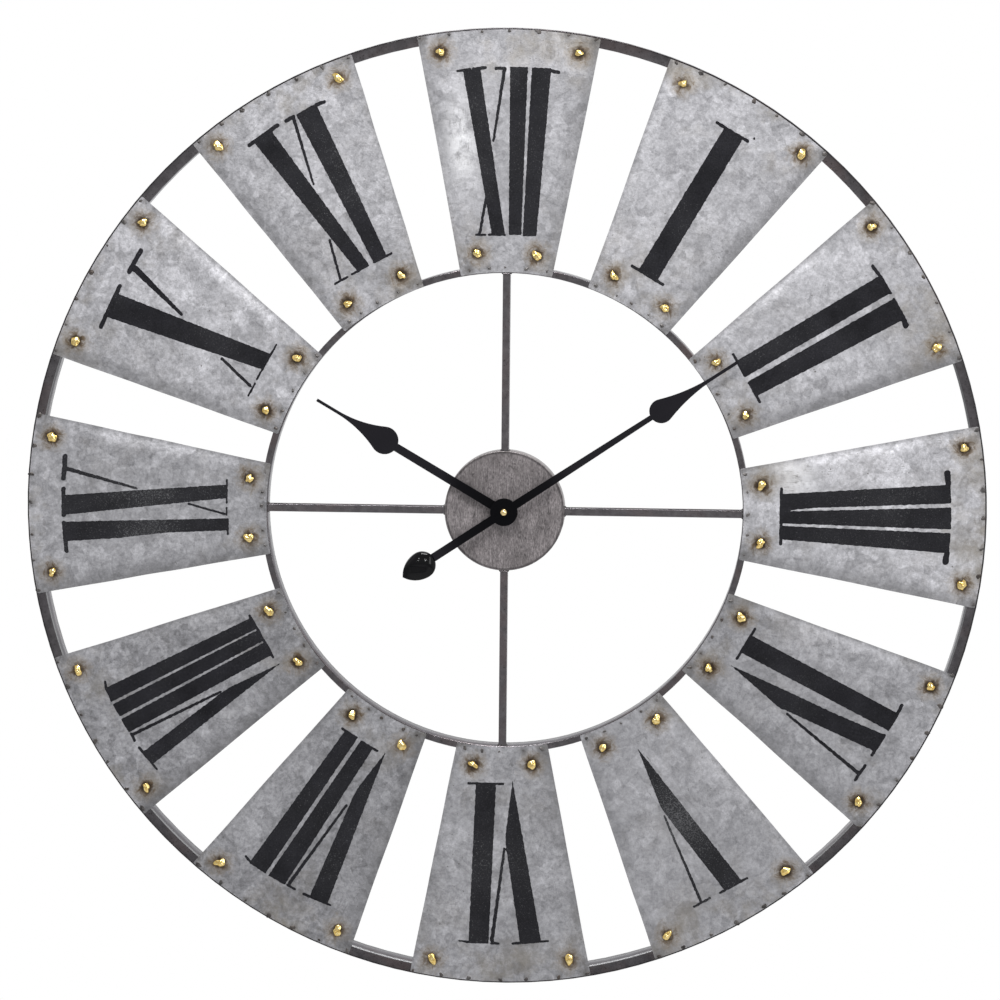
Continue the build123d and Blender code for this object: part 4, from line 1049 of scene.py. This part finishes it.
# Carried-over CAD nodes: their finish and eased edges, in millimetres
DRESS = (
    ("frame_steel", 0.6, "outer_ring inner_ring"),
    ("frame_steel", 0.5, "spoke_top spoke_right spoke_bottom spoke_left hanger_tab"),
    ("hub_steel", 0.6, "hub_pan"),
    ("hand_black", 0.12, "minute_hand hour_hand"),
    ("gloss_black", 0.0, "counterweight"),
    ("brass", 0.0, "hand_nut minute_collet hour_collet threaded_bush fixing_nut"),
    ("rubber", 0.2, "gasket"),
    ("case_plastic", 0.35, "movement_case rear_cover setting_knob"),
    ("gear_plastic", 0.0, "middle_plate centre_wheel hour_wheel minute_wheel third_wheel rotor coil_bobbin"),
    ("pinion_brass", 0.0, "minute_arbor cannon_pinion"),
    ("bright_steel", 0.1, "cover_screws fixing_washer contact_plus contact_minus"),
    ("motor_iron", 0.0, "stator coil_core"),
    ("magnet", 0.0, "rotor_magnet"),
    ("copper_wire", 0.0, "coil_winding"),
    ("board_green", 0.0, "circuit_board"),
    ("crystal_can", 0.2, "quartz_crystal"),
    ("battery_wrap", 0.4, "battery"),
)
# Nodes whose material isn't the one that others of the same finish share
OWN = {
    "setting_knob": KNOB, "spoke_top": SPOKE, "spoke_right": SPOKE, "spoke_bottom": SPOKE,
    "spoke_left": SPOKE,
}
WELD_WITHIN = 0.01
EASE_SEGMENTS, EASE_ANGLE = 3, 40
for slot, ease, names in DRESS:
    for name in names.split():
        node = nodes[name]
        node.data.materials.clear()
        node.data.materials.append(OWN.get(name, FINISH[slot]))
        if ease:
            weld = node.modifiers.new("weld", "WELD")
            weld.merge_threshold = WELD_WITHIN * MM
            bevel = node.modifiers.new("ease", "BEVEL")
            bevel.width = ease * MM
            bevel.segments = EASE_SEGMENTS
            bevel.limit_method = "ANGLE"
            bevel.angle_limit = math.radians(EASE_ANGLE)
            bevel.harden_normals = True


# Stage: floor, lights, world and camera, in metres
CENTRE = Vector((0.0, 0.0, AXIS_Z * MM))
FLOOR_Z = -1.6
FLOOR_SIDE, FLOOR_FRONT, FLOOR_BACK = 4.0, -5.0, 3.6
# Strength of the room in front and of the soft light, and the headings where room turns into backdrop
ROOM = 0.5
SOFT = 0.45
ROOM_TO, BACKDROP_FROM = -0.6, 0.1


def floor():
    corners = (
        (-FLOOR_SIDE, FLOOR_FRONT), (FLOOR_SIDE, FLOOR_FRONT),
        (FLOOR_SIDE, FLOOR_BACK), (-FLOOR_SIDE, FLOOR_BACK),
    )
    points = [(x, y, FLOOR_Z) for x, y in corners]
    mesh = bpy.data.meshes.new("floor")
    mesh.from_pydata(points, [], [(0, 1, 2, 3)])
    p = Paint("floor", Roughness=0.9)
    p.colour = p.mix(p.noise(6, 3), (0.60, 0.60, 0.60), (0.64, 0.64, 0.64))
    mesh.materials.append(p.finish())
    made = bpy.data.objects.new("floor", mesh)
    bpy.context.scene.collection.objects.link(made)


def lamp(name, at, size, power):
    data = bpy.data.lights.new(name, "AREA")
    data.shape = "RECTANGLE"
    data.size, data.size_y = size
    data.energy = power
    made = bpy.data.objects.new(name, data)
    made.location = at
    made.rotation_mode = "QUATERNION"
    made.rotation_quaternion = (CENTRE - Vector(at)).to_track_quat("-Z", "Y")
    bpy.context.scene.collection.objects.link(made)


def world():
    """White backdrop behind the clock, a dimmer room in front of it, and soft light all round."""
    made = bpy.data.worlds.new("studio")
    made.use_nodes = True
    made.node_tree.nodes.clear()
    node = partial(add_node, made.node_tree)

    def larger(a, b):
        return node("ShaderNodeMath", {0: a, 1: b}, operation="MAXIMUM").outputs[0]

    path = node("ShaderNodeLightPath").outputs
    heading = node("ShaderNodeTexCoord").outputs["Generated"]
    depth = node("ShaderNodeSeparateXYZ", {0: heading}).outputs["Y"]
    level = node("ShaderNodeMapRange", {0: depth, 1: ROOM_TO, 2: BACKDROP_FROM, 3: ROOM, 4: 1.0})
    shown = larger(path["Is Camera Ray"], level.outputs[0])
    seen = larger(larger(path["Is Camera Ray"], path["Is Glossy Ray"]), path["Is Transmission Ray"])
    soft = node("ShaderNodeBackground", {"Color": (0.95, 0.97, 1.0, 1), "Strength": SOFT})
    white = node("ShaderNodeBackground", {"Color": (1, 1, 1, 1), "Strength": shown})
    mixed = node("ShaderNodeMixShader", {0: seen, 1: soft.outputs[0], 2: white.outputs[0]})
    node("ShaderNodeOutputWorld", {"Surface": mixed.outputs[0]})
    bpy.context.scene.world = made


def camera():
    """Long lens, a little above and to the right of square on, rolled as the photograph is."""
    right, up, roll = math.radians(2.91), math.radians(6.04), math.radians(0.54)
    distance, frame_width, sensor = 3.893, 0.83265, 36.0
    aim = Vector((-0.00402, -0.0220, (AXIS_Z + 8.64) * MM))
    back = Vector((math.sin(right) * math.cos(up), -math.cos(right) * math.cos(up), math.sin(up)))
    data = bpy.data.cameras.new("camera")
    data.sensor_width = sensor
    data.lens = sensor * distance / frame_width
    data.clip_start, data.clip_end = 0.1, 100.0
    made = bpy.data.objects.new("camera", data)
    turned = (-back).to_track_quat("-Z", "Y").to_matrix() @ Matrix.Rotation(roll, 3, "Z")
    made.matrix_world = Matrix.Translation(aim + back * distance) @ turned.to_4x4()
    bpy.context.scene.collection.objects.link(made)
    bpy.context.scene.camera = made


floor()
lamp("key", (-0.15, -1.9, 1.35), (0.8, 0.5), 60)
lamp("fill", (1.9, -2.3, 0.25), (1.4, 1.8), 26)
lamp("top", (0.2, 0.4, 1.7), (1.6, 0.8), 26)
lamp("spark", (-0.55, -2.2, 0.8), (0.12, 0.12), 2)
world()
camera()
bpy.context.scene.view_settings.view_transform = "Standard"
